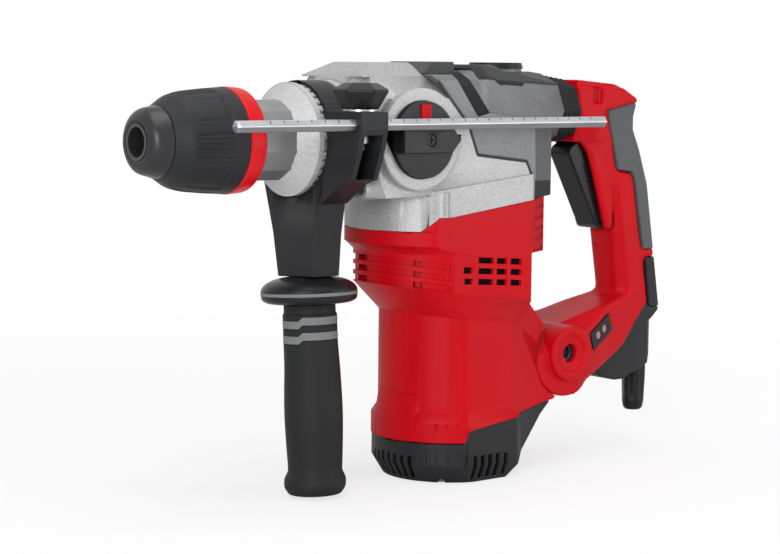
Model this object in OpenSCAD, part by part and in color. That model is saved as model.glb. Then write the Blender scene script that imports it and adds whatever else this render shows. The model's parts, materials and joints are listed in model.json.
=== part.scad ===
// Rotary hammer with an upright motor, a crank-driven impact drive, a sprung rear handle,
// a swivelling side handle and a depth rod.
// The spindle axis is the X axis. The bit socket's mouth is the origin, the chuck points along -X,
// the motor hangs along -Z and the selector knob faces -Y.

/* [Bit socket and spindle] */
// Radius of the round bit socket
socket_r = 9.05; // [8.8:0.05:9.3]
// Depth of the bit socket
socket_depth = 80; // [74:1:82]
// Radius of the spindle under the chuck
spindle_r = 17; // [16:0.1:17.5]
// Radius of the spindle inside the barrel neck
neck_shaft_r = 18.5; // [18:0.1:19]
// Radius of the wide back part of the spindle
spindle_back_r = 24; // [23.5:0.1:24.4]

/* [Chuck] */
// Length of the rubber dust cap
cap_len = 13.2; // [12.4:0.1:14]
// Radius of the dust cap at its back edge
cap_r = 22; // [21.5:0.1:23]
// Length of the sliding sleeve
sleeve_len = 47; // [45:0.1:49]
// Radius of the sleeve at its back end
sleeve_r = 32.6; // [32:0.1:33.5]
// Width of the coloured ring behind the sleeve
ring_w = 12.5; // [11:0.5:13]
// How far the sleeve pulls back to free the bit
sleeve_travel = 8; // [6:0.5:9]

/* [Barrel] */
// Corner radius of the twelve-sided neck
neck_r = 25.5; // [25:0.1:26]
// Front face of the round barrel disc
disc_x = 109; // [107:0.5:110]
// Radius of the barrel disc
disc_r = 35.5; // [35:0.5:38]
// Thickness of the barrel disc
disc_t = 3.5; // [3:0.5:4]
// Radius of the seat that the side handle clamps
seat_r = 30; // [29.5:0.1:31]
// Length of the barrel behind the disc
barrel_back_len = 29.5; // [29:0.5:31]

/* [Impact drive] */
// Bore radius of the impact cylinder
cylinder_bore_r = 17; // [16:0.1:17.2]
// Wall of the impact cylinder
cylinder_wall = 3; // [2.8:0.1:3.2]
// Radius of the impact bolt
bolt_r = 13; // [12:0.1:13.4]
// Offset of the crank pin from the crank axis
crank_throw = 12; // [10:0.5:12]
// Length of the connecting rod between its eyes
rod_len = 40; // [39:0.5:42]

/* [Gears] */
// Module of all gear teeth
tooth_module = 1; // [0.96:0.01:1.02]
// Teeth on the motor pinion
pinion_teeth = 10; // [10:2:12]
// Teeth on the crank gear
crank_teeth = 40; // [38:2:40]
// Teeth on the lay gear
lay_teeth = 60; // [56:2:60]
// Teeth on the small pinion that drives the spindle
drive_teeth = 16; // [14:2:16]
// Teeth on the crown gear of the spindle
crown_teeth = 56; // [54:2:58]

/* [Motor] */
// X position of the motor axis
motor_x = 245; // [244:0.5:246]
// Radius of the motor bore in the housing
motor_bore_r = 38.5; // [37.5:0.1:39]
// Radius of the armature core
core_r = 22; // [20:0.5:23]
// Length of the armature core
core_len = 55; // [50:1:58]
// Radius of the cooling fan
fan_r = 35; // [32:0.5:36.5]
// Radius of the armature shaft
shaft_r = 5; // [4.5:0.1:5.2]

/* [Casing] */
// Half width of the skirt and the upper motor housing
skirt_w = 45.5; // [45:0.1:47]
// Height of the gear casing above the spindle axis
casing_top = 40; // [39:0.5:41]
// Height of the raised roof above the casing
roof_h = 8.5; // [7:0.5:9]
// Wall of the gear casing
casing_wall = 4; // [3.4:0.1:4.2]
// Radius of the round front of the motor can
can_r = 46.8; // [46:0.1:48]
// Level of the base that the tool stands on
base_z = -225; // [-230:0.5:-222]

/* [Selector] */
// Radius of the selector knob
knob_r = 24.3; // [23:0.1:25]
// How far the knob's bar stands out of its disc
bar_h = 6.5; // [5:0.1:6.6]

/* [Rear handle] */
// X position of the pivot that carries the rear handle
pivot_x = 325; // [324:0.5:327]
// Height of that pivot
pivot_z = -148; // [-149:0.5:-147]
// Radius of the pivot pin
pivot_r = 8; // [7:0.1:8.5]
// Half width of the hand grip
grip_w = 16.5; // [15.5:0.1:18]
// Radius of the bellows between the cover and the handle
bellows_r = 21.5; // [20.5:0.1:22.5]

/* [Side handle] */
// Angle that the side handle is clamped at, away from straight down
side_angle = 3.4; // [0:0.1:8]
// Width of the clamp band along the spindle
band_w = 18; // [17:0.5:18.5]
// Radius of the round guard above the grip
guard_r = 30.5; // [29:0.5:32]
// Largest radius of the grip
grip_r = 18.7; // [17.8:0.1:19.5]
// Radius of the flared end of the grip
grip_end_r = 19.6; // [18.8:0.1:20.4]

/* [Depth rod] */
// Distance between opposite flats of the hexagonal rod
rod_flat = 7; // [6:0.1:7.4]
// Length of the rod
depth_rod_len = 298; // [280:1:310]

/* [Cord guard] */
// Radius of the cord opening
cord_r = 4.75; // [4:0.05:5]

/* [Fits] */
// Radial clearance of shafts and slides that run
run = 0.08; // [0.05:0.01:0.1]
// Clearance of pieces that seat in each other
fit = 0.05; // [0.02:0.01:0.1]
// Gap at the seams between shells
seam = 0.3; // [0.2:0.05:0.4]

/* [Hidden] */
$fn = 96;
eps = 0.01;
far = 500;

// Chuck and spindle places along X
lip_r = socket_r + 2.15;
lip_len = 4;
sleeve_x0 = cap_len + seam;
sleeve_x1 = sleeve_x0 + sleeve_len;
ring_r = sleeve_r + 0.3;
ring_x1 = sleeve_x1 + ring_w;
sleeve_lip = 5.5;
collar_r = spindle_r + 5;
collar_x = sleeve_x1 - 5.4;
collar_w = 4;
sleeve_bore_r = collar_r + 0.5;
ring_bore_r = neck_r + 0.8;
counterbore_len = sleeve_travel + 3.5;
spring_wire_r = 1.1;
spring_coil_r = (spindle_r + sleeve_bore_r) / 2;
spring_turns = 7;
roller_r = 2.8;
roller_len = 15;
roller_x = 38;
roller_off = socket_r + roller_r + 0.15;
neck_x0 = sleeve_x1 + 3.6;
seal_w = 5;
needle_x0 = neck_x0 + seal_w + 0.5;
needle_x1 = disc_x - 11;
needle_r = neck_shaft_r + 3.5;
shoulder_x = disc_x + disc_t + 0.5;
barrel_x1 = disc_x + disc_t + barrel_back_len;
flange_w = 5.7;
flange_r = seat_r + 7;
teeth_ring_w = 3.8;
cone_len = 9.6;
band_x0 = disc_x + disc_t + teeth_ring_w + 0.3;
band_x1 = band_x0 + band_w;
side_x = (band_x0 + band_x1) / 2 - 1.8;
chamber_x = socket_depth + 10;
chamber_x1 = chamber_x + 37;
nose_r = 8;

// Drive train places
lay_x = motor_x - tooth_module * (pinion_teeth + lay_teeth) / 2;
crank_x = motor_x + tooth_module * (pinion_teeth + crank_teeth) / 2;
crown_pitch_r = tooth_module * crown_teeth / 2;
crown_face = lay_x - tooth_module * drive_teeth / 2 - 1.2 * tooth_module;
spindle_x1 = crown_face;
bearing_w = 14;
bearing_x0 = barrel_x1 + 8;
bearing_r = spindle_back_r + 10;
cylinder_r = cylinder_bore_r + cylinder_wall;
cylinder_x0 = chamber_x1 + 1.5;
cylinder_x1 = crank_x - 20;
web_x0 = lay_x + 16;
web_w = 6;
wrist_x = crank_x - crank_throw - rod_len;
tooth = [[-1.25, -0.85], [0, -0.6], [0.9, -0.3], [0.9, 0.3], [0, 0.6], [-1.25, 0.85]];
crank_gear_z = -36;
lay_gear_z = -45;
gear_h = 8;
plate_z = -58;
plate_t = 8;
armature_top = -152 + core_len;
armature_bottom = -152;

// Casing places
casing_w = skirt_w - 2.5;
can_w = skirt_w - 3;
casing_x1 = 297;
collar_arc_x = motor_x - 21.3;
collar_arc_r = skirt_w + 8;
rib_arc_r = skirt_w + 2;
skirt_z = -58.5;
knob_x = 179.5;
knob_z = 0.3;
knob_y = -casing_w - 5;
base_arc_r = can_r + 4.6;
base_w = can_w + 4;
tongue_w = 14;
arm_w = 33;
swing_r = 30;
head_w = grip_w + 3;
duct_z = 17;
duct_r = bellows_r + 2.8;
duct_x1 = 326;
taper_x0 = 240;
bellows_x1 = 345;
handle_x0 = bellows_x1 + seam;
rod_y = -63;
rod_z = 10.6;
rod_r = rod_flat / 2 / cos(30);
rod_x0 = 27;
knob_screw_x = side_x + 1;
knob_screw_y = rod_y + 8;
knob_turn = 22;
arm_x0 = disc_x + disc_t + 0.5;
grip_end_z = base_z + 1.1;
stripe_h = 5;
rib_slant = 8.3;
rib_x = 176;
rib_end_z = -93.8;
bevel_h = 16.6;
slot_z = -77.55;
slot_pitch = 7;
slot_slant = 4.4;
rib_row_z = -77.6;
rib_row_pitch = 6.8;
slot_h = 3.9;
disc_y = knob_y - 3.5;
bar_y = disc_y - bar_h;
button_travel = 1.5;
trigger_w = 10;
trigger_x = 357;
trigger_z = -1;
switch_w = 9;
cord_x = 424;
cord_outer_r = cord_r + 3.9;
// Screws under the base, as [x, y, top of the screw]
screw_spots = [[215, -30, -187], [215, 30, -187], [257, -38.4, -177], [257, 38.4, -177]];
cap_x = 284;
cap_boss_r = 17.6;

// Seam between the gear casing and the crank cover, seen from the side
cover_seam = [[193, 41], [219, 13], [224, 6.5], [231, -10.5], [274, -15.5], [281, -28.5], [281, -75]];
// Seam between the gear casing and the motor housing, seen from the side
motor_seam = [[100, skirt_z], [187, skirt_z], [197, -49.6], [208, -49.8], [310, -37]];
// Seam between the motor housing and the base cap, seen from the side
base_seam = [[150, -198], [221.5, -198], [224, -190], [340, -175]];

// Turn an outline of [radius, x] points about the spindle axis
module spin_x(points) rotate([0, 90, 0]) rotate_extrude() polygon(points);
// Carry a flat outline of (y, z) points along X
module along_x(x0, x1) translate([x0, 0, 0]) rotate([90, 0, 90]) linear_extrude(x1 - x0) children();
// Carry a flat outline of (x, z) points along Y
module along_y(y0, y1) translate([0, y1, 0]) rotate([90, 0, 0]) linear_extrude(y1 - y0) children();
module rod_x(x0, x1, r) translate([x0, 0, 0]) rotate([0, 90, 0]) cylinder(h = x1 - x0, r = r);
module rod_y(x, z, y0, y1, r) translate([x, y1, z]) rotate([90, 0, 0]) cylinder(h = y1 - y0, r = r);
module rod_z(x, y, z0, z1, r) translate([x, y, z0]) cylinder(h = z1 - z0, r = r);
module box(x0, x1, y0, y1, z0, z1) translate([x0, y0, z0]) cube([x1 - x0, y1 - y0, z1 - z0]);
// A ring about the spindle axis
module ring_x(x0, x1, r, bore) spin_x([[bore, x0], [r, x0], [r, x1], [bore, x1]]);
// A ring about an upright axis
module ring_z(x, y, z0, z1, r, bore) translate([x, y, 0])
    rotate_extrude() polygon([[bore, z0], [r, z0], [r, z1], [bore, z1]]);
// Everything above or below a side outline that runs from left to right
module above(line, gap) along_y(-far / 4, far / 4)
    polygon(concat([for (p = line) p + [0, gap]],
        [[far, line[len(line) - 1][1] + gap], [far, far], [line[0][0], far]]));
module below(line, gap) along_y(-far / 4, far / 4)
    polygon(concat([for (p = line) p - [0, gap]],
        [[far, line[len(line) - 1][1] - gap], [far, -far], [line[0][0], -far]]));
// A spur gear standing on the XY plane, with a tooth on the +X side
module spur(n, h, turn = 0) linear_extrude(h) polygon([
    for (i = [0 : n - 1]) for (p = tooth)
        let (a = turn + i * 360 / n, r = tooth_module * (n / 2 + p[0]), w = tooth_module * p[1])
        [r * cos(a) - w * sin(a), r * sin(a) + w * cos(a)]]);
// A coil of round wire about X
module coil_x(x0, x1, r, wire, turns, steps = 18, sides = 8) {
    rings = turns * steps;
    pts = [for (i = [0 : rings]) for (k = [0 : sides - 1])
        let (a = i * 360 / steps, b = k * 360 / sides, rr = r + wire * cos(b))
        [x0 + wire + (x1 - x0 - 2 * wire) * i / rings + wire * sin(b), rr * cos(a), rr * sin(a)]];
    sideq = [for (i = [0 : rings - 1]) for (k = [0 : sides - 1])
        [i * sides + k, i * sides + (k + 1) % sides, (i + 1) * sides + (k + 1) % sides, (i + 1) * sides + k]];
    first = [for (k = [sides - 1 : -1 : 0]) k];
    last = [for (k = [0 : sides - 1]) rings * sides + k];
    polyhedron(pts, concat([first], sideq, [last]));
}

// The chuck
module dust_cap() color("#1f2023") spin_x([
    [lip_r + fit, 0.4], [lip_r + fit + 2.4, 0], [cap_r - 5.3, 0.9], [cap_r - 3.5, 2.6], [cap_r - 1.9, 5.2],
    [cap_r - 1.1, 8.5], [cap_r, cap_len], [spindle_r + fit, cap_len],
    [spindle_r + fit, lip_len], [lip_r + fit, lip_len]]);

module chuck_sleeve() color("#232427") difference() {
    spin_x([
        [spindle_r + run, sleeve_x0], [cap_r, sleeve_x0], [cap_r + 3.4, sleeve_x0 + 5.5],
        [cap_r + 6.1, sleeve_x0 + 9.5], [cap_r + 8, sleeve_x0 + 16.5], [sleeve_r - 1.1, sleeve_x1 - 15],
        [sleeve_r, sleeve_x1], [ring_bore_r, sleeve_x1], [ring_bore_r, sleeve_x1 - counterbore_len],
        [sleeve_bore_r, sleeve_x1 - counterbore_len], [sleeve_bore_r, sleeve_x0 + sleeve_lip],
        [spindle_r + run, sleeve_x0 + sleeve_lip]]);
    // Finger grooves in eight fields around the sleeve
    for (field = [0 : 7]) for (g = [-2 : 2]) rotate([field * 45 + g * 4.2, 0, 0])
        box(sleeve_x1 - 28, sleeve_x1 - 5, -0.5, 0.5, sleeve_r - 2.1, sleeve_r + 5);
}

module chuck_ring() color("#c8171c") ring_x(sleeve_x1, ring_x1, ring_r, ring_bore_r);

module tool_holder() color("#5c5e62") difference() {
    spin_x([
        [socket_r, 0], [lip_r, 0], [lip_r, lip_len], [spindle_r, lip_len], [spindle_r, collar_x],
        [collar_r, collar_x], [collar_r, collar_x + collar_w], [neck_shaft_r, collar_x + collar_w],
        [neck_shaft_r, shoulder_x], [spindle_back_r, shoulder_x], [spindle_back_r, spindle_x1],
        [cylinder_r + run, spindle_x1], [cylinder_r + run, chamber_x1], [bolt_r + run, chamber_x1],
        [bolt_r + run, chamber_x], [nose_r + run, chamber_x], [nose_r + run, socket_depth],
        [socket_r, socket_depth]]);
    // Windows for the two locking rollers
    for (s = [0, 180]) rotate([s, 0, 0])
        box(roller_x - fit, roller_x + roller_len + fit, 0, spindle_r, -roller_r - fit, roller_r + fit);
}

module locking_rollers() color("#b9bcc0") for (s = [-1, 1])
    translate([0, s * roller_off, 0]) rod_x(roller_x, roller_x + roller_len, roller_r);

module sleeve_spring() color("#9a9da1")
    coil_x(sleeve_x0 + sleeve_lip + 0.1, collar_x - 0.1, spring_coil_r, spring_wire_r, spring_turns);

// The barrel and the bearings of the spindle
module front_seal() color("#2b2b2d")
    ring_x(neck_x0 + 0.3, neck_x0 + seal_w, needle_r - fit, neck_shaft_r + run);

module needle_bearing() color("#a9acb0")
    ring_x(needle_x0, needle_x1 - fit, needle_r - fit, neck_shaft_r + run);

module spindle_bearing() color("#b4b7bb") difference() {
    ring_x(bearing_x0 + fit, bearing_x0 + bearing_w - fit, bearing_r - fit, spindle_back_r + run);
    for (x = [bearing_x0, bearing_x0 + bearing_w - 2])
        ring_x(x, x + 2, bearing_r - 3.2, spindle_back_r + 3.2);
}

module crown_gear() color("#8b8e93") {
    ring_x(crown_face - 12, crown_face, crown_pitch_r + 3, spindle_back_r + fit);
    for (i = [0 : crown_teeth - 1]) rotate([i * 360 / crown_teeth, 0, 0])
        translate([crown_face - eps, 0, -crown_pitch_r - 2.6]) linear_extrude(5.2) polygon([
            [0, -0.85 * tooth_module], [1.2 * tooth_module, -0.6 * tooth_module],
            [2.1 * tooth_module, -0.3 * tooth_module], [2.1 * tooth_module, 0.3 * tooth_module],
            [1.2 * tooth_module, 0.6 * tooth_module], [0, 0.85 * tooth_module]]);
}

module barrel_neck() color("#c3c5c8") difference() {
    union() {
        translate([neck_x0, 0, 0]) rotate([0, 90, 0]) rotate(15)
            cylinder(h = disc_x - neck_x0 + 1, r = neck_r, $fn = 12);
        // Cone from the neck out to the disc
        spin_x([[0, disc_x - cone_len], [neck_r - 0.6, disc_x - cone_len], [disc_r - 0.5, disc_x],
            [0, disc_x]]);
        rod_x(disc_x, disc_x + disc_t, disc_r);
        rod_x(disc_x + disc_t - 1, barrel_x1, seat_r);
        difference() {
            rod_x(disc_x + disc_t - 1, band_x0 - 0.3, disc_r - 0.8);
            for (i = [0 : 35]) rotate([i * 10, 0, 0])
                box(disc_x + disc_t, band_x0, -1, 1, disc_r - 2.6, disc_r + 1);
        }
        rod_x(barrel_x1 - flange_w, barrel_x1, flange_r);
    }
    rod_x(neck_x0 - 1, needle_x1, needle_r);
    rod_x(needle_x0, disc_x + disc_t, neck_shaft_r + 0.8);
    rod_x(disc_x + disc_t - 1, barrel_x1 + 1, spindle_back_r + 1);
    for (a = [45 : 90 : 315]) rotate([a, 0, 0]) translate([0, 0, flange_r - 3.6]) {
        rod_x(barrel_x1 - 3, barrel_x1 + 1, 1.6);
        rod_x(barrel_x1 - flange_w - 1, barrel_x1 - 3, 2.7);
    }
}

// The impact drive
module impact_bolt() color("#9fa2a6") spin_x([
    [0, chamber_x - 5], [nose_r - 1, chamber_x - 5], [nose_r, chamber_x - 4], [nose_r, chamber_x + 4.2],
    [bolt_r, chamber_x + 4.2], [bolt_r, chamber_x1 - 7], [nose_r, chamber_x1 - 5], [nose_r, chamber_x1 - 1],
    [0, chamber_x1 - 1]]);

module ram() color("#8f9296") spin_x([
    [0, chamber_x1 + 0.5], [nose_r - 1, chamber_x1 + 0.5], [nose_r - 1, chamber_x1 + 13],
    [cylinder_bore_r - run, chamber_x1 + 13], [cylinder_bore_r - run, chamber_x1 + 44],
    [0, chamber_x1 + 44]]);

module piston() color("#a4a7ab") difference() {
    rod_x(wrist_x - 18, wrist_x + 9.8, cylinder_bore_r - run);
    rod_x(wrist_x - 10, wrist_x + 15, cylinder_bore_r - 4);
    for (x = [wrist_x - 15.5, wrist_x - 12.5])
        ring_x(x, x + 1.4, cylinder_bore_r + 1, cylinder_bore_r - 1.2);
    rod_z(wrist_x, 0, -cylinder_bore_r, cylinder_bore_r, 4 + fit);
}

module wrist_pin() color("#7d8084") rod_z(wrist_x, 0, -cylinder_bore_r + 1, cylinder_bore_r - 1, 4);

module con_rod() color("#94979b") difference() {
    union() {
        rod_z(wrist_x, 0, -5, 5, 7.5);
        rod_z(wrist_x + rod_len, 0, -5, 5, 9);
        box(wrist_x, wrist_x + rod_len, -4.5, 4.5, -3.5, 3.5);
    }
    rod_z(wrist_x, 0, -6, 6, 4 + fit);
    rod_z(wrist_x + rod_len, 0, -6, 6, 5 + run);
}

module impact_cylinder() color("#aeb1b5") difference() {
    union() {
        rod_x(cylinder_x0, cylinder_x1, cylinder_r);
        rod_x(web_x0 - 5, web_x0, cylinder_r + 7);
    }
    rod_x(cylinder_x0 - 1, cylinder_x1 + 1, cylinder_bore_r);
    for (a = [60, 120, 240, 300]) rotate([a, 0, 0])
        translate([chamber_x1 + 50, 0, 0]) cylinder(h = 40, r = 1.5);
}

module crank_wheel() color("#85888c") {
    translate([crank_x, 0, crank_gear_z]) spur(crank_teeth, gear_h, 180 + 180 / crank_teeth);
    rod_z(crank_x, 0, crank_gear_z + gear_h - eps, -12, 17.5);
    rod_z(crank_x - crank_throw, 0, -12 - eps, -6, 5);
    rod_z(crank_x, 0, plate_z + 1, crank_gear_z + eps, 6);
}

module lay_shaft() color("#85888c") {
    translate([lay_x, 0, lay_gear_z]) spur(lay_teeth, gear_h, 180 / lay_teeth);
    translate([lay_x, 0, -crown_pitch_r - 4]) spur(drive_teeth, 8, 180 + 180 / drive_teeth);
    rod_z(lay_x, 0, plate_z + 1, -crown_pitch_r - 4 + eps, 5);
}

// The motor
module gear_plate() color("#b7babd") difference() {
    translate([0, 0, plate_z]) linear_extrude(plate_t) pocket_plan(0.1);
    box(0, lay_x - 20, -far, far, -far, far);
    rod_z(motor_x, 0, plate_z - 1, plate_z + plate_t + 1, 11 + fit);
    rod_z(lay_x, 0, plate_z - 1, plate_z + plate_t + 1, 5 + run);
    rod_z(crank_x, 0, plate_z - 1, plate_z + plate_t + 1, 6 + run);
}

module armature_shaft() color("#8d9094") {
    rod_z(motor_x, 0, -202, -48, shaft_r);
    translate([motor_x, 0, -48 - eps]) spur(pinion_teeth, 21, 0);
}

module armature_core() color("#6d6f73") difference() {
    ring_z(motor_x, 0, armature_bottom, armature_top, core_r, shaft_r + fit);
    for (i = [0 : 13]) translate([motor_x, 0, 0]) rotate(i * 360 / 14)
        box(core_r - 7, core_r + 1, -1.2, 1.2, armature_bottom - 1, armature_top + 1);
}

module windings() color("#b5692c") {
    translate([motor_x, 0, armature_top + fit]) rotate_extrude()
        polygon([[shaft_r + fit, 0], [core_r - 2, 0], [core_r - 3, 5], [core_r - 8, 10],
            [shaft_r + fit, 10]]);
    translate([motor_x, 0, armature_bottom - 10 - fit]) rotate_extrude()
        polygon([[shaft_r + fit, 10], [core_r - 2, 10], [core_r - 3, 5], [core_r - 8, 0],
            [shaft_r + fit, 0]]);
}

module commutator() color("#b87333") difference() {
    ring_z(motor_x, 0, -184, -163, 13, shaft_r + fit);
    for (i = [0 : 27]) translate([motor_x, 0, 0]) rotate(i * 360 / 28)
        box(12.2, 14, -0.25, 0.25, -185, -165);
}

module cooling_fan() color("#3a3b3e") {
    ring_z(motor_x, 0, -78, -75.5, fan_r, shaft_r + fit);
    ring_z(motor_x, 0, -75.6, -63, 10, shaft_r + fit);
    for (i = [0 : 10]) translate([motor_x, 0, 0]) rotate(i * 360 / 11)
        box(9, fan_r - 1, -0.9, 0.9, -75.6, -65);
}

module motor_bearings() color("#b4b7bb") {
    ring_z(motor_x, 0, plate_z, plate_z + plate_t, 11, shaft_r + run);
    ring_z(motor_x, 0, -201, -193, 11, shaft_r + run);
}

module stator() color("#77797d") difference() {
    rod_z(motor_x, 0, armature_bottom, armature_top, motor_bore_r - fit);
    rod_z(motor_x, 0, armature_bottom - 1, armature_top + 1, core_r + 0.6);
    for (s = [0, 180]) translate([motor_x, 0, 0]) rotate(s)
        box(-9, 9, core_r, core_r + 9, armature_bottom - 1, armature_top + 1);
}

module field_coils() color("#a85f28") {
    ring_z(motor_x, 0, armature_top, armature_top + 7, motor_bore_r - 2.5, core_r + 3);
    ring_z(motor_x, 0, armature_bottom - 7, armature_bottom, motor_bore_r - 2.5, core_r + 3);
}

module brush_ring() color("#2e2f31") ring_z(motor_x, 0, -189, -186, motor_bore_r - fit, 15);

module brush_holders() color("#c4a24a") for (s = [0, 180]) translate([motor_x, 0, 0]) rotate(s)
    difference() {
    box(15, motor_bore_r - 6, -5.5, 5.5, -186, -170);
    box(14, motor_bore_r - 8, -3.5 - fit, 3.5 + fit, -184, -172);
}

module carbon_brushes() color("#26272a") for (s = [0, 180]) translate([motor_x, 0, 0]) rotate(s)
    box(13.3, 27, -3.5, 3.5, -184 + fit, -172 - fit);

// Plan outlines of the casing
module front_arc(x, r, w) intersection() {
    translate([x, 0]) circle(r);
    translate([x - r, -w]) square([r, 2 * w]);
}
module upper_plan(r, w, back = casing_x1, draw = 9.5) {
    front_arc(collar_arc_x, r, w);
    polygon([[collar_arc_x - eps, -w], [278, -w], [back, draw - w], [back, w - draw], [278, w],
        [collar_arc_x - eps, w]]);
}
// The hollow over the motor that takes the gears and their plate
module pocket_plan(gap) {
    front_arc(collar_arc_x, collar_arc_r - 5 - gap, casing_w - casing_wall - gap);
    w = casing_w - casing_wall - gap;
    back = casing_x1 - 4.5 - gap;
    polygon([[collar_arc_x - 1, -w], [276, -w], [back, 9.5 - w], [back, w - 9.5], [276, w],
        [collar_arc_x - 1, w]]);
}
module can_plan(r, w) intersection() {
    translate([motor_x, 0]) circle(r);
    translate([motor_x - r, -w]) square([2 * r, 2 * w]);
}
// Cross section of the casing, as (y, z) points
function casing_section(w, top, low) = [
    [-w, low], [w, low], [w, top - 14], [w - 11, top], [11 - w, top], [-w, top - 14]];

module casing_cavity() {
    along_x(bearing_x0 + bearing_w, casing_x1 - 4.5)
        polygon(casing_section(casing_w - casing_wall, casing_top - casing_wall, -32));
    translate([0, 0, -70]) linear_extrude(40) pocket_plan(0);
}

module gear_housing() color("#b9bbbe") {
    difference() {
        union() {
            intersection() {
                along_x(barrel_x1, casing_x1) polygon(casing_section(casing_w, casing_top, -60));
                spin_x([[0, barrel_x1], [flange_r + 1, barrel_x1], [flange_r + 34, barrel_x1 + 24],
                    [flange_r + 60, casing_x1], [0, casing_x1]]);
                union() {
                    box(barrel_x1, casing_x1, -far, far, -36, far);
                    translate([0, 0, -61]) linear_extrude(30) upper_plan(collar_arc_r, skirt_w);
                }
            }
            // Skirt that stands proud of the upper casing below a rising edge
            difference() {
                translate([0, 0, -61]) linear_extrude(40) upper_plan(collar_arc_r, skirt_w);
                translate([173, -far / 4, -35]) rotate([0, -6, 0])
                    translate([-60, 0, 0]) cube([far, far / 2, far]);
            }
            // Raised roof with sloping sides
            hull() {
                box(barrel_x1 + 3, 198, -casing_w + 11, casing_w - 11, casing_top - 1, casing_top);
                box(barrel_x1 + 19, 192, -19, 19, casing_top, casing_top + roof_h);
            }
            // Boss of the selector knob
            rod_y(knob_x, knob_z, knob_y, 0, knob_r + 8);
            // Upright half-round bosses on the skirt
            for (s = [-1, 1]) rod_z(201.5, s * (skirt_w - 2.6), -60, -33.8, 4.8);
            // Screw bosses at the front
            for (s = [-1, 1]) translate([0, s * 34, -31]) rod_x(barrel_x1, barrel_x1 + 36, 6);
        }
        casing_cavity();
        rod_x(bearing_x0, bearing_x0 + bearing_w + 1, bearing_r);
        rod_x(barrel_x1 - 1, bearing_x0 + 1, spindle_back_r + 1.2);
        rod_y(knob_x, knob_z, knob_y - 1, knob_y + 3, knob_r + 0.5);
        rod_y(knob_x, knob_z, knob_y, 0, 7 + run);
        for (a = [45 : 90 : 315]) rotate([a, 0, 0]) translate([0, 0, flange_r - 3.6])
            rod_x(barrel_x1 - 1, barrel_x1 + 7.2, 1.6);
        for (s = [-1, 1]) translate([0, s * 34, -31]) rod_x(barrel_x1 - 1, barrel_x1 + 14, 3.2);
        along_y(-far / 4, far / 4) polygon(concat([[193, far]], cover_seam, [[far, -75], [far, far]]));
        below(motor_seam, 0);
    }
    // Wall that carries the impact cylinder
    difference() {
        along_x(web_x0, web_x0 + web_w) polygon([
            [-casing_w + casing_wall - 1, -34], [casing_w - casing_wall + 1, -34],
            [casing_w - casing_wall + 1, -14], [casing_w - casing_wall - 2, -12], [24, 27],
            [-24, 27], [-casing_w + casing_wall + 2, -12],
            [-casing_w + casing_wall - 1, -14]]);
        rod_x(web_x0 - 1, web_x0 + web_w + 1, cylinder_r + fit);
    }
}

// Cross section of the crank cover, as (y, z) points
function cover_section(w, top, low) = [
    [-w, low], [w, low], [w, top - 10], [w - 11, top], [11 - w, top], [-w, top - 10]];
// The eight-sided duct that the bellows sits on, with its corners up, down and to the sides
module duct_bar(x0, x1) translate([0, 0, duct_z]) rod_x(x0, x1, duct_r, $fn = 8);
module cover_shape() intersection() {
    union() {
        // Upper part, drawn in on both sides to meet the duct
        hull() {
            along_x(180, taper_x0) polygon(cover_section(casing_w, casing_top + 8, 5));
            duct_bar(duct_x1 - 1, duct_x1);
        }
        // Straight lower part
        along_y(-casing_w, casing_w) polygon([
            [180, -60], [casing_x1, -60], [casing_x1, 13.4], [taper_x0, 7.2], [180, 7.2]]);
    }
    along_y(-far / 4, far / 4) polygon([
        [150, 41], [228, 41], [234, 47], [256, 47], [268, 42], [duct_x1, 43], [duct_x1, -60],
        [150, -60]]);
}

module crank_cover() color("#4b4d51") difference() {
    union() {
        cover_shape();
        rod_z(cap_x, 0, casing_top - 12, casing_top + 5, cap_boss_r);
    }
    translate([seam, 0, seam]) below(concat([[100, 41]], cover_seam), 0);
    below(motor_seam, -seam);
    // Hollow over the crank
    along_x(199, taper_x0) polygon(cover_section(casing_w - casing_wall, casing_top - 5, -61));
    along_x(taper_x0 - 1, taper_x0 + 20) polygon(cover_section(casing_w - 10, casing_top - 7, -61));
    box(taper_x0 - 1, casing_x1 - 4.5, casing_wall - casing_w, casing_w - casing_wall, -61, 3.5);
    // Round way through the duct to the bellows
    translate([0, 0, duct_z]) rod_x(taper_x0 + 10, duct_x1 + 1, bellows_r - 4);
    // Slanted groove down both sides
    difference() {
        along_y(-far / 4, far / 4) polygon([[209, 43.4], [218.5, 43.4], [241, 16.5], [231.5, 14]]);
        along_x(150, far) polygon(cover_section(casing_w - 2, casing_top + 7, -60));
    }
}

module cover_wedge() color("#26272a") hull() {
    box(193.6, 218.5, -casing_w + 11, casing_w - 11, 41 + fit, 41.6);
    box(203, 224, -27, 27, 45, 45.2);
    box(210, 229, -20, 20, 48.6, 49.2);
}

module grease_cap() color("#1e1f22") translate([cap_x, 0, casing_top + 5 + fit]) {
    difference() {
        cylinder(h = 4, r1 = cap_boss_r + 1, r2 = cap_boss_r);
        for (a = [0, 120, 240]) rotate(a) translate([11, 0, 2]) cylinder(h = 4, r = 2);
    }
}

// A flat cut that falls towards the back by the angle of the rib field
module slant_slab(x, z, t) translate([x, 0, z]) rotate([0, rib_slant, 0])
    translate([-far, -far / 2, 0]) cube([2 * far, far, t]);
// Places of the cooling slots in the side panels, as [first x, last x, row]
side_slots = concat(
    [for (row = [0 : 2]) for (x = [[-14, -1], [2, 11], [14.5, 24]]) [x[0], x[1], row]],
    [for (row = [1, 2]) [-26, -19, row]]);

module yoke_side() polygon([
    [motor_x, -110], [281, -108], [303, -127], [pivot_x + 5, -140], [pivot_x + 5, -165], [312, -178.5],
    [300, -181], [motor_x, -196]]);
module yoke_plan() polygon([
    [motor_x, -can_w], [motor_x + 20, -can_w], [pivot_x - 25, -arm_w], [pivot_x + 8, -arm_w],
    [pivot_x + 8, arm_w], [pivot_x - 25, arm_w], [motor_x + 20, can_w], [motor_x, can_w]]);

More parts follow.
